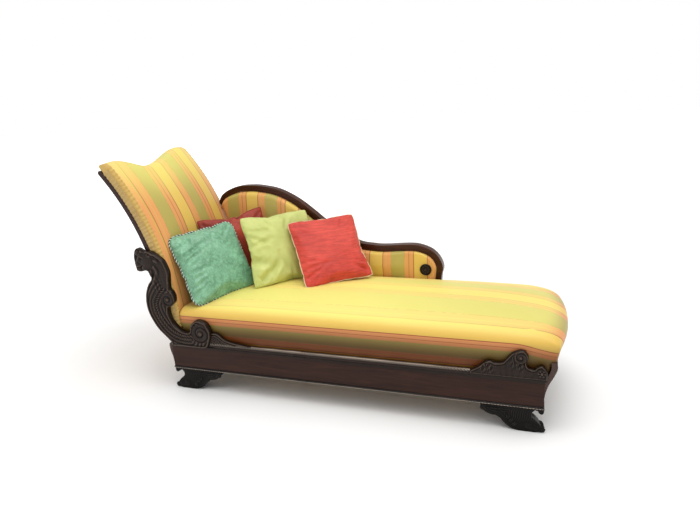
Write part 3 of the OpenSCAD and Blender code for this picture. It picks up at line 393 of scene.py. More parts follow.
def striped(name):
    """Silk stripes that follow the cloth, from where each point lies on it."""
    p = Paint(name)
    a, b, m = p.attribute("stripe_a"), p.attribute("stripe_b"), p.attribute("stripe_end")
    pick = p.math("GREATER_THAN", m, 0.5)
    phase = p.plus(a, p.times(p.less(b, a), pick))
    within = p.math("FRACT", p.plus(phase, 20.0))
    colour = p.ramp(within, BANDS)
    # Paler by painted light on the tops, darker by painted shade low on the walls, plain along the gathered
    # border
    tone = p.attribute("stripe_tone")
    colour = p.mix(p.times(p.math("MAXIMUM", tone, 0.0), 0.78), colour, LIT_PALE)
    painted_shade = p.mix(1.0, colour, (0.20, 0.12, 0.03), "MULTIPLY")
    colour = p.mix(p.times(p.math("MINIMUM", tone, 0.0), -1.0), colour, painted_shade)
    colour = p.mix(p.attribute("border"), colour, GATHER)
    threads = p.wave(p.coords(), 240, "DIAGONAL", 3.0)
    slub = p.noise(p.coords((40, 700, 700)), 1.0, 2)
    mottled = p.noise(p.coords(), 9, 4)
    # Broken dark picks beside the olive bands
    from_band = p.math("ABSOLUTE", p.less(within, OLIVE_MIDDLE))
    from_pick = p.times(p.math("ABSOLUTE", p.less(from_band, PICK_AWAY)), 260.0)
    broken = p.math("GREATER_THAN", p.noise(p.coords((38, 38, 38)), 1.0, 1), 0.46)
    picks = p.times(p.less(1.0, from_pick, True), broken)
    colour = p.mix(p.times(picks, 0.55), colour, (0.20, 0.13, 0.06))
    shade = p.plus(p.times(slub, 0.16), p.times(mottled, 0.14))
    colour = p.mix(shade, colour, (0.28, 0.18, 0.07), "SOFT_LIGHT")
    height = p.plus(weave_of(p), p.times(threads, 0.35))
    rough = p.plus(p.times(mottled, 0.12), 0.40)
    return p.finish(colour, rough, p.bump(height, 0.18, 0.0004), Sheen_Weight=0.10, Sheen_Roughness=0.4,
                    Specular_IOR_Level=0.30)


def plain_cloth(name, dark, light, rough=0.6, thread=520.0, cloud_scale=7, sheen=0.3, figure=0.0, streak=0.0):
    """Cloth of one colour, ribbed by slubs (streak) or crushed (figure) where asked."""
    p = Paint(name)
    v = p.coords()
    cloud = p.noise(v, cloud_scale, 5, 0.6)
    colour = p.ramp(cloud, [(0.32, dark), (0.68, light)])
    height = weave_of(p, thread)
    if streak:
        slub = p.noise(p.coords((14, 14, 150)), 1.0, 3, 0.7)
        ribs = p.ramp(slub, [(0.40, (streak,) * 3), (0.58, BLACK)])
        colour = p.mix(ribs, colour, tuple(c * 0.45 for c in dark))
        height = p.plus(height, p.times(slub, 1.5))
    if figure:
        crush = p.noise(v, 42, 6, 0.68, 1.6)
        crests = p.times(p.ramp(crush, [(0.44, BLACK), (0.60, WHITE)]), figure)
        colour = p.mix(crests, colour, tuple(min(1, c * 1.7 + 0.04) for c in light))
        height = p.plus(p.times(crush, 1.4), p.times(height, 0.4))
    return p.finish(colour, rough, p.bump(height, 0.25, 0.0006), Sheen_Weight=sheen, Sheen_Roughness=0.45)


def metal(name):
    """Dull spring wire."""
    p = Paint(name)
    n = p.noise(p.coords(), 60, 4)
    colour = p.ramp(n, [(0.35, srgb(96, 84, 74)), (0.7, srgb(150, 146, 140))])
    rough = p.plus(p.times(n, 0.3), 0.25)
    return p.finish(colour, rough, p.bump(n, 0.2, 0.0004), Metallic=0.9)


mahogany = wood("mahogany", srgb(30, 14, 10), srgb(58, 30, 21))
mahogany_flat = wood("mahogany_veneer", srgb(34, 18, 13), srgb(64, 37, 27), gloss=0.40, coat=0.05)
mahogany_crest = wood("mahogany_crest", srgb(42, 20, 10), srgb(86, 46, 24), gloss=0.32, coat=0.06)
# The beads' light lines are painted highlights, with some wear
mahogany_bead = wood("mahogany_bead", srgb(28, 18, 14), srgb(54, 37, 29), gloss=0.28, coat=0.3, carved=True,
                     worn_lit_colour=(196, 180, 164), worn_lit_share=0.85)
mahogany_carved = wood("mahogany_carved", srgb(24, 16, 12), srgb(46, 32, 24), gloss=0.34, coat=0.08,
                       carved=True)
# The paws' light specks on high places are painted highlights, with some wear
paw_wood = wood("mahogany_paw", srgb(11, 9, 8), srgb(22, 18, 16), gloss=0.40, coat=0.04, carved=True,
                worn_lit_colour=(62, 57, 54), shine=0.10)
mahogany_end = wood("mahogany_end", srgb(40, 24, 17), srgb(80, 52, 38), 1, 0.3, 0.45)
frame_wood = bare("frame_wood", srgb(150, 116, 76), srgb(196, 160, 112))
frame_wood_y = bare("frame_wood_cross", srgb(146, 112, 72), srgb(192, 156, 108), 1)
jute_cloth = plain_cloth("jute", srgb(136, 108, 66), srgb(178, 150, 104), 0.9, 260.0, 14, 0.1)
olive_cloth = plain_cloth("olive_fabric", srgb(164, 134, 72), srgb(190, 158, 92), 0.6)
spring_metal = metal("spring_wire")
stripes = striped("striped_fabric")
teal_cloth = plain_cloth("teal_fabric", srgb(84, 134, 102), srgb(118, 170, 136), 0.42, 420.0, 16, 0.25, 0.34)
rust_cloth = plain_cloth("rust_fabric", srgb(126, 32, 16), srgb(182, 62, 36), 0.62, 480.0, 9, 0.04)
lime_cloth = plain_cloth("lime_fabric", srgb(178, 186, 100), srgb(206, 212, 128), 0.5, 560.0, 6, 0.15)
coral_cloth = plain_cloth("coral_fabric", srgb(190, 52, 40), srgb(220, 74, 58), 0.62, 300.0, 8, 0.06,
                          streak=0.36)
cream_cord = plain_cloth("cream_cord", srgb(206, 180, 138), srgb(232, 212, 172), 0.6)
rust_cord = plain_cloth("rust_cord", srgb(120, 40, 24), srgb(168, 72, 46), 0.6)
black_cord = plain_cloth("black_cord", srgb(20, 34, 30), srgb(38, 54, 48), 0.5)
white_cord = plain_cloth("white_cord", srgb(196, 214, 198), srgb(226, 236, 224), 0.5)


def striping(phase, **more):
    """Point attributes of striped cloth that has no end of its own."""
    return {"stripe_a": phase, "stripe_b": phase, "stripe_end": np.zeros(len(phase)), **more}


def dress(o, material, body="couch"):
    """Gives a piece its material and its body."""
    o.data.materials.clear()
    o.data.materials.append(material)
    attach(o, body)
    return o


# Headrest
head_base = fillet_top + clear
head_shares = np.array([[0, 0], [0.02, 0.34], [0.25, 0.70], [1, 1]])
head_path = np.stack([-half_l - head_shares[:, 0] * head_overhang,
                      lerp(head_base, stile_top, head_shares[:, 1])], 1)


def head_at(t, n):
    """A point of the leaning line, n millimetres to its inner side."""
    t = np.asarray(t, float)[..., None]
    p = head_path
    at = p[0] * (1 - t) ** 3 + 3 * p[1] * t * (1 - t) ** 2 + 3 * p[2] * t * t * (1 - t) + p[3] * t ** 3
    d = 3 * (p[1] - p[0]) * (1 - t) ** 2 + 6 * (p[2] - p[1]) * t * (1 - t) + 3 * (p[3] - p[2]) * t * t
    d = d / np.linalg.norm(d, axis=-1, keepdims=True)
    side = np.stack([d[..., 1], -d[..., 0]], -1)
    return at + np.asarray(n, float)[..., None] * side


fine_t = np.linspace(0, 1.05, 400)
fine_line = head_at(fine_t, np.zeros_like(fine_t))


def head_share(z):
    return np.interp(z, fine_line[:, 1], fine_t)


pad_face = stile_t + 6 * clear + head_pad


def face_x(z):
    """Where the headrest's padding starts at its side edge, at a height."""
    z = np.asarray(z, float)
    low = head_at(head_share(z), np.full(z.shape, pad_face))
    return head_at(head_share(2 * z - low[..., 1]), np.full(z.shape, pad_face))[..., 0]


def scoop(y):
    w = y / rail_d - dip_share
    v = np.abs(w) / np.where(w < 0, dip_share - hump_share, 1 - hump_share - dip_share)
    return np.where(v < 1, 0.5 + 0.5 * np.cos(np.pi * np.minimum(v, 1)), 0)


top_slope = 3 * (head_path[3, 1] - head_path[2, 1])


def top_line(y):
    """How far the headrest's top stands above the line of the stiles."""
    return head_rise + head_lift * y / rail_d - head_scoop * scoop(y)


border_t = 3.5
corner_r = head_pad * 0.42
# The gathered strip: how far in it reaches, its length and the width of a pleat
gather_y, head_len, pleat_w = 25, 880, 17.5


def head_fade(t):
    return smooth((t - 0.22) / 0.5)


def head_point(t, y, n_share, lump=0.0):
    """A point of the padding: share up, distance across, share of the thickness."""
    v = t + top_line(y) / top_slope * smooth((t - 0.6) / 0.4)
    bulge = head_crown * (1 - np.abs(2 * y / rail_d - 1) ** 3.2) * head_fade(t)
    p = head_at(v, stile_t + 6 * clear + n_share * (head_pad + bulge) + lump)
    return np.stack([p[..., 0], np.broadcast_to(y, p[..., 0].shape), p[..., 1]], -1)


def head_stripe(y):
    """Where the stripes fall across the headrest."""
    return (y - 242) / 258


def pleats(length, lag=0.0):
    """Uneven waves of gathered cloth, from -1 to 1."""
    return np.sin(length * 2 * np.pi / pleat_w + 1.3 * np.sin(length / 31) + lag)


head_y0, head_y1 = border_t + 2 * clear, rail_d - border_t - 2 * clear


def head_across():
    """Up one side of the padding, round its corner, over the face, and down the other side."""
    cols = 112
    a, b = head_y0, head_y1
    turn = np.linspace(0, 1, 9)
    side_y = a + corner_r * (1 - np.cos(turn * np.pi / 2))
    side_n = 1 - corner_r / head_pad + corner_r / head_pad * np.sin(turn * np.pi / 2)
    rise = np.linspace(0, 1, 7)[:-1]
    ys = np.concatenate([np.full(6, a), side_y, np.linspace(a + corner_r, b - corner_r, cols)[1:-1],
                         (a + b - side_y)[::-1], np.full(6, b)])
    ns = np.concatenate([rise * (1 - corner_r / head_pad), side_n, np.ones(cols - 2), side_n[::-1],
                         (rise * (1 - corner_r / head_pad))[::-1]])
    return ys, ns


def head_up():
    """Share up, share of the thickness and drawing in, for each row from the base to over the top."""
    ts = np.concatenate([[0.0], np.linspace(0.012, 0.97, 330)])
    rows = [(t, 1.0, 0.0) for t in ts]
    for k in np.linspace(0.08, 1, 12):
        turned = k * math.pi / 2
        rows.append((0.97 + 0.048 * math.sin(turned), math.cos(turned), 0.55 * k ** 2))
    return rows


def headrest():
    """Padding of the headrest, crowned, with a soft roll over its top."""
    ys, ns = head_across()
    rows = head_up()
    # Along both sides the cloth shows one stripe only
    side_phase, side_front, side_rear = 0.32, 53, rail_d - 30
    verts, rear, phases, wrap, n_cols = [], [], [], [], len(ys)
    for t, thick, draw in rows:
        # Draws in at the corners as it turns over the top
        y = np.clip(ys, head_y0 + draw * corner_r, head_y1 - draw * corner_r)
        lump = 1.6 * ripple(y * 0.011, np.full_like(y, t * 9.0), 3) * (ns > 0.98) * smooth(t / 0.1) * thick
        gathered = smooth((gather_y + 1 - y) / 3.0) + smooth((y - rail_d + gather_y + 1) / 3.0)
        seam = -2.2 * bell(y - gather_y, 2.6) - 2.2 * bell(rail_d - gather_y - y, 2.6)
        full = 0.40 + 0.60 * float(smooth((t - 0.3) / 0.5))
        fold = 2.6 * pleats(t * head_len) * gathered * np.where(y > mid_y, 0.3, 1.0) * full
        proud = (lump + (seam + fold) * thick) * (ns > 0.6)
        verts.append(head_point(np.full_like(y, t), y, ns * thick, proud))
        phases.append(np.where((ys < side_front) | (ys > side_rear), side_phase, head_stripe(ys)))
        wrap.append(np.clip(gathered, 0, 1))
        # Rear face, which follows the dip of the top
        rear.append(head_point(np.full_like(y, t), y, np.zeros_like(y)))
    faces = [f[::-1] for f in both_skins(len(rows), n_cols)]
    # Paler towards the top, painted light
    head_lit = np.repeat([0.10 + 0.62 * float(smooth((r[0] - 0.72) / 0.26)) for r in rows], n_cols)
    border = np.concatenate(wrap)
    o = mesh_piece("headrest_padding", np.array(verts + rear).reshape(-1, 3), faces,
                   striping(np.tile(np.concatenate(phases), 2), stripe_tone=np.tile(head_lit, 2),
                            border=np.concatenate([border, np.zeros_like(border)])))
    outward(o, joined=True, cap=n_cols)
    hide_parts("headrest_pad")
    return dress(o, stripes)


def gathered_border(name, front):
    """The pleated strip between the stile and the striped face."""
    rows, cols = 520, 12
    t = np.linspace(0.02, 0.985, rows)[:, None]
    k = np.linspace(0, 1, cols)[None, :]
    n = stile_t + 2 * clear + k * (head_pad * 0.86 - 2 * clear)
    pleat = pleats(t * head_len, 0.6 * k) * (0.45 + 0.55 * smooth((t - 0.35) / 0.5))
    pleat = np.sign(pleat) * np.abs(pleat) ** 0.8
    depth = (1.9 + 1.9 * pleat) * np.sin(np.pi * np.clip(k * 0.9 + 0.05, 0, 1)) ** 0.5 + 0.2
    xz = head_at(np.broadcast_to(t, (rows, cols)), np.broadcast_to(n, (rows, cols)))
    sign = -1 if front else 1
    base = border_t + clear if front else rail_d - border_t - clear
    outer = np.stack([xz[..., 0], base + sign * (0.6 + depth), xz[..., 1]], -1)
    inner = np.stack([xz[..., 0], np.full((rows, cols), base - sign * 0.3), xz[..., 1]], -1)
    verts = np.concatenate([outer.reshape(-1, 3), inner.reshape(-1, 3)])
    o = outward(mesh_piece(name + "_gathered", verts, cloth_faces(rows, cols)))
    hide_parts(name)
    return dress(o, olive_cloth)


def curved_sheet(name, node, lo_t, hi_t, n_out, n_in, rows=90, cols=60):
    """Cloth over the outside of the headrest."""
    t = np.linspace(lo_t, hi_t, rows)[:, None]
    y = np.linspace(stile_w + clear, rail_d - stile_w - clear, cols)[None, :]
    tt = t + np.minimum(top_line(y) - 6, 0) / top_slope * smooth((t - 0.6) / 0.4)
    sag = 0.5 * ripple(y * 0.02, t * 14, 8)
    verts = []
    for n in (n_out, n_in):
        p = head_at(tt, np.full(tt.shape, n) + sag)
        verts.append(np.stack([p[..., 0], np.broadcast_to(y, tt.shape), p[..., 1]], -1).reshape(-1, 3))
    verts = np.concatenate(verts)
    o = outward(mesh_piece(name, verts, cloth_faces(rows, cols), striping(head_stripe(verts[:, 1]))))
    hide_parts(node)
    return dress(o, stripes)


# Seat
ogee_shares = [[0, 0], [0, 0.14], [0.08, 0.28], [0.34, 0.46], [0.72, 0.62], [0.94, 0.76], [1, 0.88],
               [0.96, 1]]
board_top = rail_top + foot_rise
foot_line = through([(half_l + s[0] * foot_flare, floor_gap + s[1] * (board_top - floor_gap))
                     for s in ogee_shares], 6)
panel_y = rail_d - crest_d / 2
post_half, web_t = 9, 2
web_back_y = panel_y - post_half - web_t - clear
back_end = back_l - half_l
seat_rear = rail_d - 7
seat_mid = (float(face_x(seat_edge)) + half_l + foot_bulge) / 2
seat_half = half_l + foot_bulge - seat_mid
wall_top = seat_edge - roll_h
high_inset = 4 * clear
inner_low = rail_top + 3 + 2 * clear
# Length of cloth over the rolled edge, and the rings of the wall and of the roll
edge_arc = 67.5
wall_rings, roll_rings, top_rings = 30, 16, 39
# Corner radii of the seat, and the line in which its top closes
corner_head, corner_front, corner_rear = 14, 12, 80
closing_y = mid_y * 0.96
foot_end = half_l + foot_bulge + 3


def rear_at(x):
    """The seat's rear edge, which stands forward where the back is."""
    return lerp(min(web_back_y - back_pad_t, rail_d - crest_d) - 6 * clear, seat_rear,
                smooth((x - back_end - 2 * clear) / crest_d))


def step_in(p):
    """Draws the rear half of an outline in to that edge."""
    y = p[:, 1]
    pulled = mid_y + (y - mid_y) * (rear_at(p[:, 0]) - mid_y) / (seat_rear - mid_y)
    return np.stack([p[:, 0], np.where(y < mid_y, y, pulled)], 1)


def bowed(p, k=1.0):
    """Rounds the foot end off towards the front and rear corners."""
    near_foot = smooth((p[:, 0] - half_l * 0.6) / (half_l * 0.4))
    shift = k * foot_bow * np.abs(p[:, 1] / mid_y - 1) ** 2.2 * near_foot
    return np.stack([p[:, 0] - shift, p[:, 1]], 1)


def seat_top(x, y):
    """Height of the crowned top."""
    across = 1 - np.clip(np.abs(y / mid_y - 1), 0, 1) ** 2.4
    lengthwise = 1 - np.clip(np.abs((x - seat_mid) / seat_half), 0, 1) ** 5
    return seat_edge + seat_crown * (across * lengthwise)


# Steps of the seat's outline: round a corner, along a side and across an end
CORNER, LONG, SHORT = 14, 120, 44


def seat_outline(xa, xb, ya, yb, r_head, r_front, r_rear):
    """Oblong with rounded corners, from the front one at the head end, counted the same at every height."""
    def corner(x, y, r, a0):
        a = np.radians(a0 + 90 * np.arange(CORNER + 1) / CORNER)
        return np.stack([x + r * np.cos(a), y + r * np.sin(a)], 1)

    def between(a, b, n):
        k = (np.arange(1, n + 1) / (n + 1))[:, None]
        return a + (b - a) * k

    fl = corner(xa + r_head, ya + r_head, r_head, 180)
    fr = corner(xb - r_front, ya + r_front, r_front, 270)
    rr = corner(xb - r_rear, yb - r_rear, r_rear, 0)
    rl = corner(xa + r_head, yb - r_head, r_head, 90)
    return np.concatenate([fl, between(fl[-1], fr[0], LONG), fr, between(fr[-1], rr[0], SHORT),
                           rr, between(rr[-1], rl[0], LONG), rl, between(rl[-1], fl[0], SHORT)])


SEAM = CORNER // 2 + 1
n_out = 4 * (CORNER + 1) + 2 * LONG + 2 * SHORT
index = np.arange(n_out)
foot_from = CORNER + 1 + LONG + SEAM
foot_to = foot_from + CORNER + 1 + SHORT
end_side = ((index >= foot_from) & (index < foot_to)).astype(float)
rear_side = (index >= foot_to)


def arc_phase(a):
    """Where the stripes fall, by the distance over the front edge and across the top."""
    return np.interp(a, [-150, -99, -96, -68, -19, 15, 77.5, 142.5, 272.5, 322.5, 402.5, 442.5, 522.5, 572.5,
                         652.5, 690, 800],
                     [-1.05, -0.72, -0.705, -0.52, -0.215, 0, 0.283, 0.48, 0.77, 1.0, 1.283, 1.48, 1.77, 2.0,
                      2.283, 2.42, 2.85])


def seat_walls():
    """Rings of the walls, tucked in behind the moulding and swelling up to the rolled edge."""
    rings, arcs = [], []
    face_z, face_xs = foot_line[:, 1], foot_line[:, 0] - board_t * 0.97
    for k in np.linspace(0, 1, wall_rings):
        z = lerp(inner_low, wall_top, k)
        tuck = 8.5 * (1 - smooth((z - mould_top) / (wall_top - mould_top) * 1.05)) + high_inset
        if z < mould_top + 1:
            tuck = mould_w - mould_out + clear
        over, swell = board_top - 24, 0.0
        if z < over:
            xb = np.interp(z, face_z, face_xs) - 2 * clear
        else:
            swell = 0.85 * (z - over) / (wall_top - over)
            xb = lerp(half_l + foot_flare - 4, foot_end, swell)
        xa = float(face_x(z)) + high_inset
        o = seat_outline(xa, xb, tuck, seat_rear - tuck / 2, corner_head, corner_front, corner_rear)
        q = step_in(bowed(o, swell))
        rings.append(np.column_stack([q, np.full(n_out, z)]))
        arcs.append(np.full(n_out, z - wall_top))
    return rings, arcs


def seat_roll():
    """Rings of the rolled edge."""
    rings, arcs = [], []
    for a in np.linspace(4, 90, roll_rings):
        s, k = math.sin(math.radians(a)), 1 - math.cos(math.radians(a))
        xa = float(face_x(wall_top + roll_h * s)) + high_inset + roll_w * 0.18 * k
        xb = foot_end - 8 * (1 - s) ** 2 - roll_foot * k ** 1.2
        front, rear = high_inset + roll_w * k, seat_rear - roll_w * k * 0.6
        o = seat_outline(xa, xb, front, rear, corner_head, corner_front * (1 + 3 * k), corner_rear)
        q = step_in(bowed(o, 1 - 0.15 * (1 - s) ** 2))
        z = wall_top + roll_h * s + (seat_top(q[:, 0], q[:, 1]) - seat_edge) * s
        rings.append(np.column_stack([q, z]))
        arcs.append(np.full(n_out, edge_arc * a / 90))
    return rings, arcs


def seat_middle(last):
    """Rings of the top, from the last ring of the edge inwards."""
    rings, arcs = [], []
    for s in np.linspace(0, 1, top_rings + 1)[1:]:
        x = lerp(last[:, 0], seat_mid + (last[:, 0] - seat_mid) * 0.55, s)
        y = lerp(last[:, 1], np.full(n_out, closing_y), s)
        rings.append(np.column_stack([x, y, seat_top(x, y)]))
        arcs.append(edge_arc + y - (high_inset + roll_w))
    return rings, arcs


def seat_phases(grid, arc_front):
    """Length of cloth from the front edge at each point, along the seat and, the second, at its end."""
    rows, walls = len(grid), wall_rings + roll_rings
    # The rear wall carries on past the far edge of the top
    far = edge_arc + (seat_rear - roll_w * 0.6) - (high_inset + roll_w)
    arc = arc_front.copy()
    dipped = np.clip((walls - np.arange(rows)) / roll_rings, 0, 1)[:, None]
    arc += 24 * dipped * smooth((grid[..., 0] - half_l + 120) / 170)
    arc[:walls, rear_side] = far + (edge_arc - arc_front[:walls, rear_side])
    end_arc = np.interp(grid[..., 1], [0, high_inset + roll_w, rail_d],
                        [10, edge_arc, edge_arc + rail_d - high_inset - roll_w])
    return arc, end_arc


def seat():
    """The long cushion, closed below, with its stripes."""
    rings, arcs = seat_walls()
    roll, roll_arcs = seat_roll()
    top, top_arcs = seat_middle(roll[-1])
    grid = np.array(rings + roll + top)
    arc, end_arc = seat_phases(grid, np.array(arcs + roll_arcs + top_arcs))
    rows, walls = len(grid), wall_rings + roll_rings
    # Pulls of the cloth along the tacked lower edge, and a little unevenness of the stuffing
    x, y, z = grid[..., 0], grid[..., 1], grid[..., 2]
    low = bell(z - mould_top - 8, 24)
    front_wall = (index < CORNER + 1 + LONG)[None, :] & (np.arange(rows) < walls)[:, None]
    grid[..., 1] += np.where(front_wall, low * 1.3 * np.sin(x / 17 + 1.5 * np.sin(x / 61)), 0)
    grid[..., 2] += 2.2 * (ripple(x * 0.009, y * 0.014, 21) * smooth((z - wall_top) / roll_h))
    # A point closes the top and another the underside
    size = rows * n_out
    verts = np.vstack([grid.reshape(-1, 3), [grid[-1, :, 0].mean(), closing_y, seat_top(seat_mid, mid_y)],
                       [grid[0, :, 0].mean(), mid_y, inner_low]])
    base = size - n_out
    faces = loft_faces(rows, n_out)
    faces += [(base + i, base + (i + 1) % n_out, size) for i in range(n_out)]
    faces += [((i + 1) % n_out, i, size + 1) for i in range(n_out)]
    middle = [arc_phase(edge_arc + mid_y - 45)] * 2
    pa = np.append(arc_phase(arc).ravel(), middle)
    pb = np.append(arc_phase(end_arc).ravel(), middle)
    pe = np.append(np.tile(end_side, (rows, 1)).ravel(), [0, 0])
    # Painted shade: darker low on the walls
    wall_shade = smooth((wall_top + 30 - grid[..., 2]) / 105) ** 0.75
    # Painted light: the top is paler, most of all near the pillows
    lit_top = lerp(0.94, 0.70, smooth((grid[..., 0] + 50) / 800))
    tone = lit_top * smooth((grid[..., 2] - wall_top - roll_h * 0.62) / (roll_h * 0.9)) - wall_shade
    tone = np.append(tone.ravel(), [1, 0])
    o = outward(mesh_piece("seat_cushion", verts, faces,
                           {"stripe_a": pa, "stripe_b": pb, "stripe_end": pe, "stripe_tone": tone}))
    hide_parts("seat_pad")
    return dress(o, stripes)


def seat_skin(x, y):
    """Height of the seat's cloth at a place."""
    def rolled(d):
        k = np.clip(d, 0, 1)
        return np.sqrt(k * (2 - k))

    edge = np.minimum(rolled((y - high_inset) / roll_w),
                      rolled((x - float(face_x(seat_edge)) - high_inset) / (roll_w * 0.18)))
    return wall_top + (seat_top(x, y) - wall_top) * edge


# Back
crest_shares = np.array([
    [-0.075, 0.700], [-0.045, 0.812], [-0.013, 0.922], [0.060, 0.986], [0.136, 1], [0.196, 0.991],
    [0.258, 0.970], [0.315, 0.929], [0.369, 0.874], [0.424, 0.802], [0.477, 0.726], [0.530, 0.665],
    [0.584, 0.606], [0.638, 0.561], [0.691, 0.548], [0.744, 0.544], [0.849, 0.557], [0.900, 0.552],
    [0.951, 0.519], [0.984, 0.462], [1, 0.387], [0.992, 0.300], [0.985, 0]])
crest_z0 = rail_top + clear
crest_line = through(np.stack([-half_l + crest_shares[:, 0] * back_l,
                               lerp(crest_z0, crest_top, crest_shares[:, 1])], 1), 8)


def beside(p, a):
    """A line at a distance to the right of another."""
    d = np.gradient(p, axis=0)
    d = d / np.linalg.norm(d, axis=1, keepdims=True)
    return p + a * np.stack([d[:, 1], -d[:, 0]], 1)


crest_inside = beside(crest_line, crest_w + 4 * clear)
panel_right = crest_line[-1, 0] - crest_w - 2 * clear
rosette_at = np.array([-half_l + 0.928 * back_l, lerp(crest_z0, crest_top, 0.374)])


def crest_z(x):
    """Underside of the crest rail."""
    keep = crest_inside[:, 0] < back_end - crest_w
    p = crest_inside[keep]
    order = np.argsort(p[:, 0])
    return np.interp(x, p[order, 0], p[order, 1])


def back_left(z):
    """Where the back meets the headrest's padding, at a height."""
    return face_x(z) + head_crown * 0.45 * head_fade(head_share(z)) + 10 * clear


def back_stripe(x):
    """Where the stripes fall along the back."""
    return (x + 15) / 223.5


def back_place(u, v):
    """Place on the back, from shares along it and up it."""
    low = rail_top + clear
    left_top = float(crest_z(back_left(np.array(crest_top * 0.86))))
    x = lerp(back_left(lerp(low, left_top, v)), panel_right, u)
    return x, lerp(low, crest_z(x) - 2 * clear, v)


def back_panel(cols=150, rows=44):
    """Padding of the back, sunk into its frame and drawn in round the rosette."""
    u = np.linspace(0, 1, cols)[None, :]
    v = np.linspace(0, 1, rows)[:, None]
    u = 0.5 - 0.5 * np.cos(np.pi * (0.02 + 0.96 * u))
    u = (u - u.min()) / (u.max() - u.min())
    v = 0.5 - 0.5 * np.cos(np.pi * v)
    x, z = back_place(u, v)
    e = np.minimum(np.minimum(u, 1 - u) / 0.014, np.minimum(v, 1 - v) / 0.028)
    rim = np.sqrt(np.clip(e * (2 - np.minimum(e, 1)), 0, 1))
    bulge = back_crown * smooth((z - seat_edge) / (2 * roll_h)) * np.clip(5 * u * (1 - u), 0, 1) ** 0.5 \
        * np.clip(5 * (1 - v), 0, 1) ** 0.5 * smooth((rosette_at[0] - 2.4 * rosette_r - x) / (3 * rosette_r))
    thick = back_pad_t * rim + bulge * np.clip(e, 0, 1)
    thick = thick + 0.8 * ripple(x * 0.02, z * 0.03, 5) * np.clip(e, 0, 1)
    # Tucked in against the headrest, and out to the inner edge of the crest at the other end
    x = x - 15 * (1 - u) ** 12
    end = crest_inside[crest_inside[:, 0] > panel_right - 30]
    end = end[np.argsort(end[:, 1])]
    x = x + np.maximum(np.interp(z, end[:, 1], end[:, 0]) + 4 - panel_right, 0) * u ** 8
    # The cloth is drawn in round the rosette
    d = np.hypot(x - rosette_at[0], z - rosette_at[1])
    thick = thick - 3.0 * bell(d, rosette_r * 0.9)
    front = np.stack([x, web_back_y - clear - thick, z], -1)
    rear = np.stack([x, np.full(x.shape, web_back_y - clear), z], -1)
    verts = np.concatenate([front.reshape(-1, 3), rear.reshape(-1, 3)])
    # The stripes are a little paler all over, by the same painted light
    o = mesh_piece("back_padding", verts, [f[::-1] for f in both_skins(rows, cols)],
                   striping(back_stripe(verts[:, 0]), stripe_tone=np.full(len(verts), 0.16)))
    outward(o, joined=True)
    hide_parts("back_pad")
    return dress(o, stripes)


def back_cloth(cols=120, rows=30):
    """Cloth over the rear of the back."""
    u = np.linspace(0, 1, cols)[None, :]
    v = np.linspace(0, 1, rows)[:, None]
    x, z = back_place(u, v)
    base = panel_y + post_half + clear
    edge = np.minimum(np.minimum(u, 1 - u) / 0.02, np.minimum(v, 1 - v) / 0.05)
    soft = np.clip(edge, 0, 1)
    outer = base + 1.6 + soft * (0.9 + 0.5 * ripple(x * 0.02, z * 0.03, 12))
    verts = np.concatenate([np.stack([x, outer, z], -1).reshape(-1, 3),
                            np.stack([x, np.full(x.shape, base), z], -1).reshape(-1, 3)])
    o = outward(mesh_piece("back_cloth", verts, cloth_faces(rows, cols), striping(back_stripe(verts[:, 0]))))
    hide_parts("back_cover")
    return dress(o, stripes)


# Pillows
def turn_matrix(yaw, lean, roll):
    """Turning by three shares of a right angle."""
    y, t, r = (math.pi / 2 * v for v in (yaw, lean, roll))
    a = np.array([[math.cos(y), -math.sin(y), 0], [math.sin(y), math.cos(y), 0], [0, 0, 1]])
    b = np.array([[1, 0, 0], [0, math.cos(t), math.sin(t)], [0, -math.sin(t), math.cos(t)]])
    c = np.array([[math.cos(r), 0, math.sin(r)], [0, 1, 0], [-math.sin(r), 0, math.cos(r)]])
    return a @ b @ c


def bag(side, n, seed):
    """Two square panels sewn round their edge, slack, with a slightly uneven start."""
    t = np.linspace(-1, 1, n)
    u, v = np.meshgrid(t, t)
    edge = (np.abs(u) > 0.999) | (np.abs(v) > 0.999)
    rough = 0.4 * ripple(u * 5 + seed, v * 5, seed)
    front = np.stack([u * side / 2, np.where(edge, 0, -3.0 - rough), v * side / 2], -1).reshape(-1, 3)
    back = np.stack([u * side / 2, np.where(edge, 0, 3.0 + rough), v * side / 2], -1).reshape(-1, 3)
    keep = np.full(n * n, -1)
    keep[~edge.ravel()] = n * n + np.arange((~edge).sum())
    back_index = np.where(edge.ravel(), np.arange(n * n), keep)
    verts = np.concatenate([front, back[~edge.ravel()]])
    faces = []
    for q in loft_faces(n, n, False):
        faces += [q, tuple(int(back_index[i]) for i in q[::-1])]
    return verts, faces, rim_of(n, n)


def inflated(verts, faces):
    """The bag filled by the cloth simulation, with air pressure inside."""
    last_frame, solved_frame = 40, 33
    me = bpy.data.meshes.new("bag")
    me.from_pydata([tuple(v * 0.001) for v in verts], [], faces)
    o = linked("bag", me)
    m = modifier(o, "CLOTH")
    s = m.settings
    s.quality = 5
    s.mass = 0.25
    s.air_damping = 3.0
    s.tension_stiffness = 22
    s.compression_stiffness = 22
    s.shear_stiffness = 9
    s.bending_stiffness = 0.35
    s.use_pressure = True
    s.uniform_pressure_force = 3.2
    s.effector_weights.gravity = 0
    m.point_cache.frame_start = 1
    m.point_cache.frame_end = last_frame
    scene.frame_start, scene.frame_end = 1, last_frame
    for f in range(1, solved_frame + 1):
        scene.frame_set(f)
    out = np.array([v.co for v in evaluated(o).data.vertices]) * 1000
    bpy.data.objects.remove(o)
    bpy.data.meshes.remove(me)
    scene.frame_set(1)
    return out


def puff(side, n, seed, slack=1.05):
    """A filled square pillow, in its own frame, with its facing side towards -Y."""
    verts, faces, border = bag(side * slack, n, seed)
    filled = inflated(verts, faces)
    return filled, faces, border


def fitted(verts, side, thick):
    """Scaled to its finished side and thickness."""
    out = verts - (verts.max(0) + verts.min(0)) / 2
    return out * (np.array([side, thick, side]) / (out.max(0) - out.min(0)))


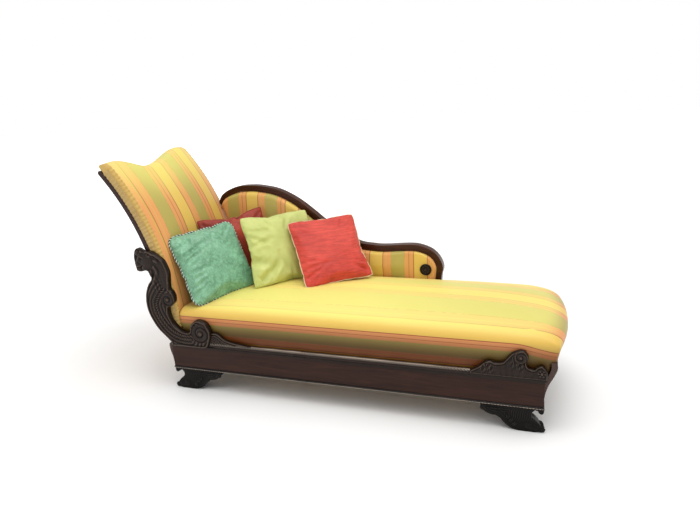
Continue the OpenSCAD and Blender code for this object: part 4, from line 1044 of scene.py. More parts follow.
def strand(p, radius, phase, turns, sides=8, twist_r=0.0):
    """A tube along a closed line, wound round it if twist_r is given."""
    n = len(p)
    d = np.roll(p, -1, 0) - np.roll(p, 1, 0)
    d /= np.linalg.norm(d, axis=1, keepdims=True)
    ref = np.array([0.31, 0.9, 0.3])
    e = np.cross(d, ref)
    e /= np.linalg.norm(e, axis=1, keepdims=True)
    f = np.cross(d, e)
    k = np.arange(n) / n * 2 * np.pi * turns + phase
    c = p + twist_r * (np.cos(k)[:, None] * e + np.sin(k)[:, None] * f)
    round_it = [2 * np.pi * j / sides for j in range(sides)]
    grid = np.stack([c + radius * (math.cos(a) * e + math.sin(a) * f) for a in round_it], 1)
    faces = [tuple(i % (n * sides) for i in face) for face in loft_faces(n + 1, sides)]
    return grid.reshape(-1, 3), faces


def resampled(points, count):
    """Evenly spaced points along a closed line."""
    p = np.vstack([points, points[:1]])
    seg = np.linalg.norm(np.diff(p, axis=0), axis=1)
    s = np.concatenate([[0], np.cumsum(seg)])
    t = np.linspace(0, s[-1], count, endpoint=False)
    return np.stack([np.interp(t, s, p[:, k]) for k in range(3)], 1)


# Side, and turn, lean and roll in shares of a right angle
PILLOWS = {
    "teal": (337, 0.649, 0.305, -0.059, teal_cloth),
    "rust": (345, 0.511, 0.18, -0.061, rust_cloth),
    "lime": (350, 0.536, 0.276, 0.008, lime_cloth),
    "coral": (344, 0.444, 0.425, -0.022, coral_cloth)}
# Thickness, points along a side before sewing, and points round the trim
PILLOW_T, BAG_N, TRIM_N = 104, 58, 480
# How far the sides draw in between the corners, and how far the corners draw in
EDGES = {"teal": (0.012, 0.05), "rust": (0.05, 0.0), "lime": (0.04, 0.0), "coral": (0.022, 0.012)}
# Long creases on each facing side: start (shares of half the side), direction, length, width, depth
CREASES = {
    "teal": [(-0.99, 0.30, 22, 215, 8, 8.5), (-0.99, 0.10, 26, 150, 7, 7), (-0.98, 0.62, 12, 120, 7, 6),
             (-0.99, -0.12, -2, 150, 8, 6.5), (-0.99, -0.34, 6, 130, 7, 6), (-0.98, -0.56, 12, 110, 7, 6),
             (-0.97, -0.76, 24, 100, 6, 5),
             (0.95, -0.1, 172, 80, 6, 3), (0.9, -0.5, 160, 90, 7, 3.5), (-0.6, 0.9, -70, 70, 6, 3),
             (0.2, 0.95, -95, 60, 6, 2.5)],
    "rust": [(-0.9, 0.9, -40, 90, 8, 4), (0.9, 0.9, -140, 90, 8, 4), (0.95, 0.2, 178, 80, 7, 3.5)],
    "lime": [(-0.98, -0.30, -14, 120, 17, 15), (-0.80, -0.84, 34, 150, 15, 15), (-0.97, 0.08, 16, 150, 10, 8),
             (-0.97, 0.42, -32, 150, 10, 8), (-0.2, -0.1, -60, 130, 12, 5),
             (-0.9, 0.55, -8, 130, 9, 5), (-0.5, 0.92, -55, 110, 9, 4.5), (0.3, 0.9, -110, 110, 9, 4.5),
             (0.92, -0.3, 170, 120, 9, 5), (-0.55, -0.9, 62, 120, 10, 7), (0.1, -0.92, 84, 80, 8, 4)],
    "coral": [(-0.97, -0.55, 10, 170, 8, 7), (-0.94, -0.78, 22, 150, 7, 7), (-0.97, -0.3, -6, 130, 7, 5),
              (0.96, -0.86, 158, 120, 8, 8), (0.90, -0.96, 130, 90, 7, 6), (0.97, -0.62, 176, 90, 7, 5),
              (-0.7, -0.93, 60, 90, 6, 4), (-0.4, -0.95, 82, 70, 6, 3.5), (0.1, -0.95, 96, 60, 6, 3),
              (0.92, 0.4, 184, 100, 7, 3), (-0.9, 0.6, -10, 110, 7, 3), (0.6, 0.9, -120, 70, 6, 2.5)]}


def creased(verts, side, seed, creases):
    """Gathers at the seams, and the long creases of a pillow's facing side."""
    out = verts.copy()
    rng = np.random.default_rng(100 + seed)
    marks = [(*c, 0) for c in creases]
    for edge in range(4):
        at = -0.86
        while at < 0.86:
            turned = 90 * edge + rng.uniform(-16, 16)
            corner = math.radians(90 * edge)
            c, q = math.cos(corner), math.sin(corner)
            u, v = -0.99 * c - at * q, -0.99 * q + at * c
            marks.append((u, v, turned, rng.uniform(16, 46), rng.uniform(3.5, 6), rng.uniform(1.0, 2.6), 1))
            at += rng.uniform(0.07, 0.15)
    for u, v, angle, length, width, depth, both in marks:
        a = math.radians(angle)
        dx, dz = out[:, 0] - u * side / 2, out[:, 2] - v * side / 2
        bend = 0.10 * math.sin(seed + 7 * u + 5 * v)
        along = dx * math.cos(a) + dz * math.sin(a)
        across = -dx * math.sin(a) + dz * math.cos(a) + bend * along ** 2 / length
        window = smooth(along / 8 + 0.4) * smooth((length - along) / (0.6 * length))
        dip = bell(across, width) - 0.42 * bell(np.abs(across) - 1.9 * width, width)
        facing = np.where(verts[:, 1] < 0, 1.0, -1.0 if both else 0.0)
        rim = np.clip(np.abs(verts[:, 1]) / 6, 0, 1)
        out[:, 1] += depth * dip * window * facing * rim
    return out


def drawn_in(verts, side, pull, corner):
    """Sides drawn in between the corners, and the corners themselves."""
    u, v = np.clip(2 * verts[:, 0] / side, -1, 1), np.clip(2 * verts[:, 2] / side, -1, 1)
    wide = np.abs(verts[np.abs(v) < 0.08, 0]).max() * 2 / side
    tall = np.abs(verts[np.abs(u) < 0.08, 2]).max() * 2 / side
    tip = 1 - corner * smooth((np.abs(u * v) - 0.72) / 0.28)
    verts[:, 0] *= 1 + ((1 - pull) / wide - 1) * (1 - v ** 4)
    verts[:, 2] *= 1 + ((1 - pull) / tall - 1) * (1 - u ** 4)
    verts[:, 0] *= tip
    verts[:, 2] *= tip
    return verts


def settled(p, drop=4.0):
    """Sunk a little onto the seat, which flattens the lowest part."""
    q = p.copy()
    floor = seat_skin(q[:, 0], q[:, 1]) + 0.6
    q[:, 2] -= drop * np.clip((floor + 60 - q[:, 2]) / 60, 0, 1)
    q[:, 2] = np.maximum(q[:, 2], floor)
    return q


def pillow(key, seed, trim=()):
    """A pillow in its place, with its trim."""
    side, yaw, lean, roll, material = PILLOWS[key]
    node = "pillow_" + key
    body = next(b for b, members in frame["record"]["behaviour"]["bodies"].items() if node in members)
    low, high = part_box(node)
    centre = (np.array(low) + np.array(high)) / 2
    verts, faces, border = puff(side, BAG_N, seed)
    verts = fitted(verts, side, PILLOW_T * 0.97)
    verts = creased(drawn_in(verts, side, *EDGES[key]), side, seed, CREASES[key])
    world = settled(verts @ turn_matrix(yaw, lean, roll).T + (centre - origin) * 1000)
    o = outward(mesh_piece(node + "_cloth", world, faces))
    modifier(o, "SUBSURF", levels=1, render_levels=1)
    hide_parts(node)
    dress(o, material, body)
    line = resampled(world[border], TRIM_N)
    for part, colour, radius, twist, phase, turns in trim:
        tube, tube_faces = strand(line, radius, phase, turns, 8, twist)
        tube[:, 2] = np.maximum(tube[:, 2], seat_skin(tube[:, 0], tube[:, 1]) + 0.4)
        dress(outward(mesh_piece(node + "_" + part, tube, tube_faces)), colour, body)


# Carving
def edge_distance(points, line):
    """Distance from each point to a closed outline, and whether it lies inside."""
    best = np.full(len(points), 1e9)
    inside = np.zeros(len(points), bool)
    for p, q in zip(line, np.roll(line, -1, 0)):
        d = q - p
        t = np.clip(((points - p) @ d) / max(float(d @ d), 1e-9), 0, 1)
        v = points - p - t[:, None] * d
        best = np.minimum(best, np.hypot(v[:, 0], v[:, 1]))
        rise = q[1] - p[1]
        if abs(rise) > 1e-9:
            cross = (p[1] > points[:, 1]) != (q[1] > points[:, 1])
            inside ^= cross & (points[:, 0] < d[0] * (points[:, 1] - p[1]) / rise + p[0])
    return best, inside


def line_distance(points, line):
    """Signed distance from an open line, and the length along it, for each point."""
    best, along, sign = np.full(len(points), 1e9), np.zeros(len(points)), np.ones(len(points))
    start = 0.0
    for p, q in zip(line[:-1], line[1:]):
        d = q - p
        n = float(np.hypot(*d))
        t = np.clip(((points - p) @ d) / max(n * n, 1e-9), 0, 1)
        v = points - p - t[:, None] * d
        away = np.hypot(v[:, 0], v[:, 1])
        near = away < best
        best = np.where(near, away, best)
        along = np.where(near, start + t * n, along)
        sign = np.where(near, np.sign(d[0] * v[:, 1] - d[1] * v[:, 0]), sign)
        start += n
    return best * np.where(sign == 0, 1, sign), along


def spread(values, pairs, rounds, count):
    """Mean of each point's neighbours, over and over."""
    degree = np.bincount(pairs.ravel(), minlength=count).astype(float)
    for _ in range(rounds):
        total = np.bincount(pairs[:, 0], values[pairs[:, 1]], count)
        total = total + np.bincount(pairs[:, 1], values[pairs[:, 0]], count)
        values = 0.5 * values + 0.5 * total / np.maximum(degree, 1)
    return values


def triangles(points, line_n):
    """Triangles of the area inside an outline whose points come first."""
    coords = [Vector((float(a), float(b))) for a, b in points]
    edges = [(i, (i + 1) % line_n) for i in range(line_n)]
    _, _, faces, origin_of, _, _ = delaunay_2d_cdt(coords, edges, [], 1, 1e-4)
    back_to = [o[0] if o else -1 for o in origin_of]
    return [tuple(back_to[i] for i in f) for f in faces if all(back_to[i] >= 0 for i in f)]


def even_outline(line):
    """Evenly spaced points of an outline, counted counterclockwise."""
    point_gap = 2.2
    length = np.hypot(*(line - np.roll(line, -1, 0)).T).sum()
    line = resampled(np.column_stack([line, np.zeros(len(line))]), int(length / point_gap))[:, :2]
    area = np.sum(line[:, 0] * np.roll(line[:, 1], -1) - np.roll(line[:, 0], -1) * line[:, 1])
    return line[::-1] if area < 0 else line


def points_inside(line, step):
    """The outline's points, rows of points close inside it, and a grid over the rest."""
    d = np.roll(line, -1, 0) - np.roll(line, 1, 0)
    d /= np.linalg.norm(d, axis=1, keepdims=True)
    inward = np.stack([-d[:, 1], d[:, 0]], 1)
    rings = []
    for off in (0.45, 1.2, 2.3):
        q = line + off * inward
        away, inside = edge_distance(q, line)
        rings.append(q[inside & (away > off * 0.93)])
    low, high = line.min(0), line.max(0)
    gx, gz = np.meshgrid(np.arange(low[0], high[0], step), np.arange(low[1], high[1], step * 0.866))
    gx = gx + (np.arange(gx.shape[0]) % 2)[:, None] * step / 2
    grid = np.stack([gx.ravel(), gz.ravel()], 1)
    away, inside = edge_distance(grid, line)
    return np.vstack([line] + rings + [grid[inside & (away > 2.3 + step * 0.55)]])


def carved(name, line, height, step, rear):
    """A carved board: an outline in x and z, heights towards the front, flat behind."""
    line = even_outline(line)
    points = points_inside(line, step)
    n, size = len(line), len(points)
    away, _ = edge_distance(points, line)
    away[:n] = 0
    faces = triangles(points, n)
    h = height(points[:, 0], points[:, 1], away)
    # Where it stands above its surroundings the polish is worn and a highlight is painted, where it lies
    # below them it is dark
    relief = np.clip(0.5 + 0.28 * (h - spread(h, edges_of(faces), 14, size)), 0, 1)
    relief[:n] = 0.45
    verts = np.vstack([np.column_stack([points[:, 0], -h, points[:, 1]]),
                       np.column_stack([line[:, 0], np.zeros(n), line[:, 1]])])
    faces += [tuple(size + i for i in f[::-1]) for f in triangles(line, n)]
    faces += [((i + 1) % n, i, size + i, size + (i + 1) % n) for i in range(n)]
    if rear:
        verts[:, 1] = rail_d - verts[:, 1]
    relief = np.concatenate([relief, np.full(n, 0.4)])
    o = outward(mesh_piece(name + "_carved", verts, faces, {"relief": relief}))
    for face in o.data.polygons:
        if min(face.vertices) >= size:
            face.use_smooth = False
    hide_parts(name)
    return dress(o, mahogany_carved)


def eased(d, r):
    """From 0 at an edge to 1 at the distance r, like a quarter circle."""
    return dome(1 - np.clip(d / r, 0, 1))


def patch(x, z, c, area):
    """A soft round patch of height 1."""
    return np.exp(-((x - c[0]) ** 2 + (z - c[1]) ** 2) / area)


def mound(x, z, c, r, h):
    """A rounded boss."""
    q = np.clip(1 - ((x - c[0]) ** 2 + (z - c[1]) ** 2) / r ** 2, 0, 1)
    return h * np.sqrt(q)


def pit(x, z, c, r, h):
    """A rounded hollow."""
    return -h * patch(x, z, c, r ** 2)


def polar(x, z, c):
    """Distance and direction from a centre."""
    return np.hypot(x - c[0], z - c[1]), np.arctan2(z - c[1], x - c[0])


def curl(x, z, c, r0, r1, turns, way, ridge):
    """Spiral ridges that wind in to a boss; with their mask."""
    r, th = polar(x, z, c)
    pitch = (r1 - r0) / turns
    f = np.abs(((r / pitch + way * (th / (2 * np.pi))) % 1.0) - 0.5) * 2
    rib = ridge * np.clip(1 - (1 - f) ** 2.6, 0, 1) - ridge * 0.4
    boss = ridge * 1.5 * dome(r / (r0 * 1.05))
    return np.where(r < r0 * 1.05, np.maximum(boss, rib * 0.3), rib), smooth((r1 * 1.02 - r) / 7.0)


# The outline of the scroll and the middle line of its flutes, in shares of its size
scroll_shares = np.array([
    [0.026, 0.978], [0.077, 1], [0.157, 0.971], [0.211, 0.976], [0.302, 0.954], [0.387, 0.910],
    [0.433, 0.875], [0.470, 0.807], [0.487, 0.749], [0.479, 0.684], [0.473, 0.604], [0.510, 0.569],
    [0.530, 0.519], [0.521, 0.466], [0.470, 0.426], [0.425, 0.409], [0.413, 0.349], [0.442, 0.275],
    [0.493, 0.218], [0.578, 0.165], [0.69, 0.16], [0.72, 0.23], [0.79, 0.285], [0.87, 0.29], [0.95, 0.26],
    [1, 0.18], [0.985, 0.09], [0.94, 0.02], [0.86, 0], [0.60, 0], [0.41, 0], [0.405, 0.035], [0.330, 0.092],
    [0.236, 0.163], [0.165, 0.244], [0.108, 0.347], [0.091, 0.444], [0.108, 0.543], [0.160, 0.633],
    [0.219, 0.690], [0.214, 0.738], [0.168, 0.774], [0.080, 0.763], [0.026, 0.774], [0.006, 0.846],
    [0, 0.912]])
rib_shares = np.array([[0.36, 0.62], [0.28, 0.55], [0.21, 0.45], [0.22, 0.34], [0.30, 0.23], [0.42, 0.14],
                       [0.56, 0.09], [0.70, 0.08]])
scroll_at = np.array([-half_l - scroll_out, fillet_top + clear])
scroll_size = np.array([scroll_l, scroll_h])


def on_scroll(a, b):
    """A place on the scroll, from shares of its size."""
    return scroll_at + np.array([a, b]) * scroll_size


def scroll_flutes(x, z, d, t):
    """Flutes along the S, with gouged feathering in the outer one."""
    side, along = line_distance(np.stack([x, z], 1), through(scroll_at + rib_shares * scroll_size, 6))
    flute = 2.0 * np.cos((side + 1.8 * np.sin(along / 34)) * 2 * np.pi / 17.5)
    feather = 2.6 * np.cos((along + 0.9 * np.abs(side)) * 2 * np.pi / 15) * bell(side - 15, 9)
    feather = feather + 2.1 * np.cos((along - 0.8 * side) * 2 * np.pi / 11) * bell(side + 4, 5)
    return smooth((0.70 - t) / 0.06) * smooth(d / 14) * (flute + feather)


def lion_mane(r, th, d, s, t):
    """Locks that fall back and down from the head, and a tuft behind the neck."""
    mane = smooth((t - 0.60) / 0.08) * smooth((r - 38) / 12) * smooth(d / 8)
    lock = np.cos(th * 10 + r / 8.5 + 1.1 * np.sin(r / 13))
    tuft = smooth((t - 0.56) / 0.05) * smooth((0.74 - t) / 0.08) * smooth((s - 0.2) / 0.1)
    return mane * (3.2 * lock + 1.2 * np.cos(th * 21 + r / 5.0) + 2.0) \
        + tuft * 2.2 * np.cos((s * 3.0 + t * 1.2) * 40)


# The lion's face: place, radius and height of its bosses, and of the hollows at eye, nostril and cheek
FACE_BOSSES = [(0.185, 0.875, 44, 13), (0.105, 0.880, 27, 11.5), (0.055, 0.832, 21, 12),
               (0.060, 0.785, 15, 9.5), (0.155, 0.815, 24, 11), (0.110, 0.935, 20, 10),
               (0.060, 0.952, 14, 9), (0.235, 0.935, 15, 15)]
FACE_PITS = [(0.112, 0.893, 5.0, 6.0), (0.022, 0.850, 4.0, 3.5), (0.235, 0.940, 7.0, 6.5),
             (0.150, 0.905, 6.0, 2.0), (0.045, 0.905, 6.0, 2.5)]
# Height, width and line of brow, nose and mouth
FACE_LINES = [(3.2, 3.2, [(0.065, 0.912), (0.11, 0.922), (0.155, 0.905)]),
              (2.4, 3.6, [(0.075, 0.90), (0.045, 0.87), (0.012, 0.86)]),
              (-5.5, 2.4, [(0.0, 0.812), (0.05, 0.806), (0.10, 0.812), (0.125, 0.83)])]


def lion_face(x, z):
    """The face in profile, looking out over the head end."""
    face = np.zeros_like(x)
    for a, b, radius, up in FACE_BOSSES:
        face = np.maximum(face, mound(x, z, on_scroll(a, b), radius, up))
    for a, b, radius, down in FACE_PITS:
        face = face + pit(x, z, on_scroll(a, b), radius, down)
    face = face + 4.5 * patch(x, z, on_scroll(0.112, 0.892), 9)
    for up, width, line in FACE_LINES:
        away, _ = line_distance(np.stack([x, z], 1), np.array([on_scroll(*p) for p in line]))
        face = face + up * bell(away, width)
    return face + 0.8 * patch(x, z, on_scroll(0.06, 0.833), 150) * np.cos(z * 2 * np.pi / 4.2)


def scroll_height(x, z, d):
    """Relief of the carved scroll: lion's head, mane, fluted S and two volutes."""
    s = (x - scroll_at[0]) / scroll_l
    t = (z - scroll_at[1]) / scroll_h
    r, th = polar(x, z, on_scroll(0.17, 0.87))
    rim = 17 + 7 * eased(d, 6)
    # A bead along the edge, a hollow inside it
    h = rim + 2.6 * bell(d - 6.0, 2.6) - 3.0 * bell(d - 12.0, 2.4)
    h = h + scroll_flutes(x, z, d, t) + lion_mane(r, th, d, s, t)
    plain = 0.85 * smooth((s - 0.33) / 0.05) * smooth((t - 0.585) / 0.04) * smooth(d / 9)
    h = lerp(h, rim - 1.5, plain)
    head = np.clip(smooth((46 - r) / 10) + smooth((0.13 - s) / 0.03) * (t > 0.70), 0, 1)
    h = lerp(h, 17 + lion_face(x, z), head * smooth(d / 7))
    for volute in ((on_scroll(0.425, 0.487), 8, 35, 1.3, -1, 5.0),
                   (on_scroll(0.855, 0.155), 11, 47, 1.5, 1, 6.0)):
        rib, mask = curl(x, z, *volute)
        h = lerp(h, np.minimum(20.5 + rib, rim + 7), mask)
    return np.maximum(h, 8) + 0.35 * ripple(x * 0.16, z * 0.16, 4)


def scroll(name, rear):
    """The scroll arm at the head end."""
    line = np.clip(round_trip(scroll_at + scroll_shares * scroll_size, 4), scroll_at, scroll_at + scroll_size)
    return carved(name, line, scroll_height, 1.9, rear)


leaf_shares = np.array([
    [0, 0], [0, 0.17], [0.10, 0.32], [0.18, 0.50], [0.25, 0.575], [0.34, 0.52], [0.43, 0.565], [0.475, 0.70],
    [0.55, 0.90], [0.645, 1], [0.71, 0.97], [0.755, 0.78], [0.73, 0.62], [0.75, 0.46], [0.82, 0.40],
    [0.87, 0.50], [0.93, 0.54], [0.985, 0.40], [1, 0.24], [0.96, 0]])
leaf_at = np.array([half_l + paw_out - leaf_l, fillet_top + clear])
leaf_size = np.array([leaf_l, leaf_h])


def on_leaf(a, b):
    """A place on the leaf, from shares of its size."""
    return leaf_at + np.array([a, b]) * leaf_size


def corner_rosette(r, th):
    """Six petals round a button."""
    petals = 13 + 5.0 * dome(r / 19) + 1.8 * np.cos(th * 6) * bell(r - 11, 4.5)
    return petals + 3.0 * dome(r / 5.5) - 2.2 * bell(r - 6.8, 1.6)


def leaf_height(x, z, d):
    """Relief of the foot leaf: acanthus lobes, a curled tip and a rosette at the corner."""
    h = 9 + 6 * eased(d, 5)
    h = h + 1.8 * bell(d - 4.5, 2) - 2.0 * bell(d - 9, 2.2)
    # Veins that fan out from the root, and rough places between them
    root = on_leaf(0.52, -0.95)
    fan = np.arctan2(x - root[0], z - root[1])
    inner = smooth(d / 9)
    rough = np.clip(patch(x, z, on_leaf(0.62, 0.66), 1500) + patch(x, z, on_leaf(0.22, 0.34), 900), 0, 1)
    h = h + inner * (0.9 * np.cos(fan * 40) * (1 - rough) + rough * 6.5 * ripple(x * 0.42, z * 0.42, 17, 2))
    # The curled tip, with stippling round it
    tip = on_leaf(0.655, 0.76)
    rib, mask = curl(x, z, tip, 6, 27, 1.4, 1, 4.2)
    h = lerp(h, 15.5 + rib, mask)
    dots = np.cos(x * 2 * np.pi / 5.2) * np.cos(z * 2 * np.pi / 5.2)
    h = h + 1.1 * dots * bell(polar(x, z, tip)[0] - 30, 9) * inner
    # Small leaf at the left
    c = on_leaf(0.24, 0.42)
    small = patch(x, z, c, 320)
    h = h + 3.0 * small + 1.0 * small * np.cos(np.arctan2(z - c[1] + 18, x - c[0]) * 11)
    # Plain band along the foot, and the rosette at the corner
    band = smooth((12 - (z - leaf_at[1])) / 2.5)
    h = lerp(h, 12.5, band) + 2.4 * bell(z - leaf_at[1] - 12, 1.8)
    r, th = polar(x, z, on_leaf(0.925, 0.29))
    h = lerp(h, corner_rosette(r, th), smooth((19.5 - r) / 4))
    return np.maximum(h, 6) + 0.3 * ripple(x * 0.2, z * 0.2, 9)


def leaf(name, rear):
    """The leaf at the foot end of the moulding."""
    line = np.clip(round_trip(leaf_at + leaf_shares * leaf_size, 5), leaf_at, leaf_at + leaf_size)
    return carved(name, line, leaf_height, 1.6, rear)


bud_shares = np.array([[0, 0], [0, 0.9], [0.20, 1.04], [0.32, 0.80], [0.42, 0.50], [0.62, 0.28], [1, 0.06],
                       [1, 0]])
# Where the moulding starts, a little way under the end of the scroll
mould_from = scroll_at[0] + scroll_l - 26


def bud(name, rear):
    """The bud behind the scroll, over the start of the moulding."""
    p = np.array([mould_from, mould_top + clear]) + bud_shares * np.array([bud_l, bud_h])
    top = through(p[1:], 6)
    line = np.clip(np.vstack([p[:1], top]), p[0], p[0] + np.array([bud_l, 2 * bud_h]))

    def height(x, z, d):
        side, along = line_distance(np.stack([x, z], 1), top[:-2])
        side = np.abs(side)
        h = 7 + 5 * eased(d, 4)
        h = h + 2.6 * bell(side - 4, 2.4) - 2.4 * bell(side - 9.5, 2.2)
        h = h + 1.8 * bell(side - 14, 2.2)
        veins = smooth((side - 16) / 6)
        return np.maximum(h + veins * (1.8 * np.cos((along * 0.8 - side * 1.1) * 2 * np.pi / 13)), 5)

    return carved(name, line, height, 1.8, rear)


def run(name, section, from_x, to_x, carve, rear, step=1.7, part="carved"):
    """A moulding drawn along x whose section may be cut as it goes."""
    count = int((to_x - from_x) / step)
    xs = np.linspace(from_x, to_x, count)[:, None]
    p = np.asarray(section, float)
    y, z, relief = carve(xs, np.repeat(p[None, :, 0], count, 0), np.repeat(p[None, :, 1], count, 0))
    verts = np.stack([np.repeat(xs, len(p), 1), y, z], -1).reshape(-1, 3)
    if rear:
        verts[:, 1] = rail_d - verts[:, 1]
    return outward(mesh_piece(name + "_" + part, verts, bar_faces(count, len(p)),
                              {"relief": np.clip(relief, 0, 1).ravel()}))


def bow(c, r, a0, a1, n):
    """Points of an arc."""
    a = np.radians(np.linspace(a0, a1, n + 1))
    return [[c[0] + r * math.cos(v), c[1] + r * math.sin(v)] for v in a]


def moulding(name, rear):
    """Fillet strip, and a cove under a gadrooned bead."""
    r = mould_h * 0.22
    bead_z = mould_top - r
    back = mould_w - mould_out
    hollow = bow([-mould_out, lerp(fillet_top, mould_top, 0.25)], mould_h * 0.25, -80, 80, 10)
    nose = bow([-mould_out + r, bead_z], r, 250, 90, 14)
    section = [[back, fillet_top - 0.2], [-mould_out, fillet_top - 0.2]] + hollow + nose + [[back, mould_top]]

    def carve(x, y, z):
        on = bell(z - bead_z, r * 0.9) * (y < 2)
        lobe = np.abs(np.cos((x + 1.2 * (z - bead_z)) * np.pi / 13.0)) ** 0.7
        push = on * (1.9 * lobe - 1.5)
        low = bell(z - fillet_top - 1.5, 1.6) * (y < 0)
        notch = low * -1.0 * (np.abs(np.cos(x * np.pi / 13.0)) > 0.9)
        # Painted highlights: a thin light line along the top edge, broken by wear, and light gadroon lobes
        # with darker gaps
        worn_lit = 0.72 + 0.5 * ripple(x / 37, z / 9, 31, 2)
        edge = (z > mould_top - 2.2) & (y < 3)
        relief = np.where(edge, 0.52 + 0.40 * worn_lit, np.where(on > 0.2, 0.26 + 0.50 * lobe, 0.5))
        return y - push - notch, z + 0.25 * push, relief

    a = run(name, section, mould_from, half_l + paw_out - leaf_l - clear, carve, rear)
    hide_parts(name)
    dress(a, mahogany_bead)
    out = -mould_out / 2
    strip = [[out, rail_top + clear], [back, rail_top + clear], [back, fillet_top - 0.3],
             [out + 1, fillet_top - 0.3], [out, fillet_top - 1.3], [out, rail_top + 3.2],
             [out + 0.6, rail_top + 2.2]]
    b = run(name, strip, -half_l, half_l, lambda x, y, z: (y, z, np.full_like(y, 0.55)), rear, 25, "fillet")
    dress(b, mahogany_carved)


def lower_bead(name, rear):
    """The gadrooned bead under the rail."""
    r = bead_h / 2
    nose = bow([-bead_out + r, floor_gap - r - clear], r, 90, 270, 16)
    back = bead_w - bead_out
    section = nose + [[back, floor_gap - bead_h - clear], [back, floor_gap - clear]]

    def carve(x, y, z):
        on = (y < 2) * np.clip((2 - y) / 4, 0, 1)
        lobe = np.abs(np.cos((x + 1.0 * (z - floor_gap)) * np.pi / 12.0)) ** 0.7
        push = on * (1.5 * lobe - 1.3)
        worn_lit = 0.85 + 0.4 * ripple(x / 23, z / 9, 33, 2)
        # Painted highlights: light ticks on the lobes along the front underside, broken by wear
        front = (y < -0.5) & (z < floor_gap - 5.5)
        return y - push, z, np.where(front, 0.50 + 0.46 * lobe * worn_lit, np.where(on > 0.1, 0.3, 0.5))

    o = run(name, section, -half_l, half_l, carve, rear)
    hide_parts(name)
    return dress(o, mahogany_bead)


def rosette():
    """Turned and carved rosette with eight petals."""
    rings, steps = 34, 96
    r = np.linspace(0, 1, rings)[:, None]
    th = np.linspace(0, 2 * np.pi, steps, endpoint=False)[None, :]
    profile = np.interp(r, [0, 0.12, 0.24, 0.30, 0.36, 0.55, 0.74, 0.80, 0.86, 0.95, 1.0],
                        [1.0, 0.96, 0.80, 0.55, 0.62, 0.80, 0.62, 0.42, 0.66, 0.60, 0.36])
    petal = 0.16 * np.cos(th * 8) * bell(r - 0.55, 0.16)
    h = rosette_t * (profile + petal)
    x = rosette_at[0] + rosette_r * r * np.cos(th)
    z = rosette_at[1] + rosette_r * r * np.sin(th)
    y0 = web_back_y - back_pad_t - 2 * clear
    front = np.stack([x, y0 - h, z], -1)
    rim = np.stack([x[-1], np.full(steps, y0), z[-1]], -1)
    verts = np.vstack([front[1:].reshape(-1, 3), rim, [[rosette_at[0], y0 - rosette_t, rosette_at[1]]]])
    faces = loft_faces(rings, steps)
    tip = len(verts) - 1
    faces += [((i + 1) % steps, i, tip) for i in range(steps)]
    faces.append(tuple((rings - 1) * steps + i for i in range(steps)))
    # High parts lighter by wear and a painted highlight, low parts darker
    relief = np.clip(0.5 + 0.8 * (h - h.mean()) / rosette_t, 0, 1)
    o = mesh_piece("back_rosette_carved", verts, faces,
                   {"relief": np.concatenate([relief[1:].ravel(), np.full(steps + 1, 0.6)])})
    outward(o)
    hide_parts("back_rosette")
    return dress(o, mahogany_carved)


paw_shares = np.array([
    [0, 1], [0.02, 0.84], [0.09, 0.62], [0.17, 0.55], [0.26, 0.52], [0.33, 0.40], [0.40, 0.20], [0.48, 0.07],
    [0.57, 0], [0.86, 0], [0.93, 0.05], [0.94, 0.30], [0.88, 0.46], [0.80, 0.60], [0.79, 0.70], [0.80, 0.82],
    [0.84, 0.91], [0.885, 0.90], [0.90, 0.82], [0.925, 0.77], [0.955, 0.77], [0.975, 0.83], [0.98, 1]])


def solid_of(name, add):
    """A mesh from what a function adds."""
    bm = bmesh.new()
    add(bm)
    me = bpy.data.meshes.new(name)
    bm.to_mesh(me)
    bm.free()
    return me


def extrude_xz(bm, outline, y0, y1):
    """Adds an outline in x and z, drawn along y."""
    low = [bm.verts.new((p[0], y0, p[1])) for p in outline]
    high = [bm.verts.new((p[0], y1, p[1])) for p in outline]
    n = len(outline)
    bm.faces.new(low)
    bm.faces.new(high[::-1])
    for i in range(n):
        bm.faces.new((low[i], high[i], high[(i + 1) % n], low[(i + 1) % n]))


def ball_in(bm, at, r, squeeze=(1, 1, 1)):
    """Adds a ball, squeezed or drawn out along the axes."""
    m = Matrix.Translation(Vector(at)) @ Matrix.Diagonal((r * squeeze[0], r * squeeze[1], r * squeeze[2], 1))
    bmesh.ops.create_uvsphere(bm, u_segments=24, v_segments=16, radius=1, matrix=m)


def rod_in(bm, a, b, ra, rb):
    """Adds a tapering rod."""
    a, b = Vector(a), Vector(b)
    d = b - a
    m = Matrix.Translation((a + b) / 2) @ d.to_track_quat("Z", "Y").to_matrix().to_4x4()
    bmesh.ops.create_cone(bm, cap_ends=True, segments=20, radius1=ra, radius2=rb, depth=d.length, matrix=m)


paw_outline = paw_shares * np.array([paw_l, paw_top])


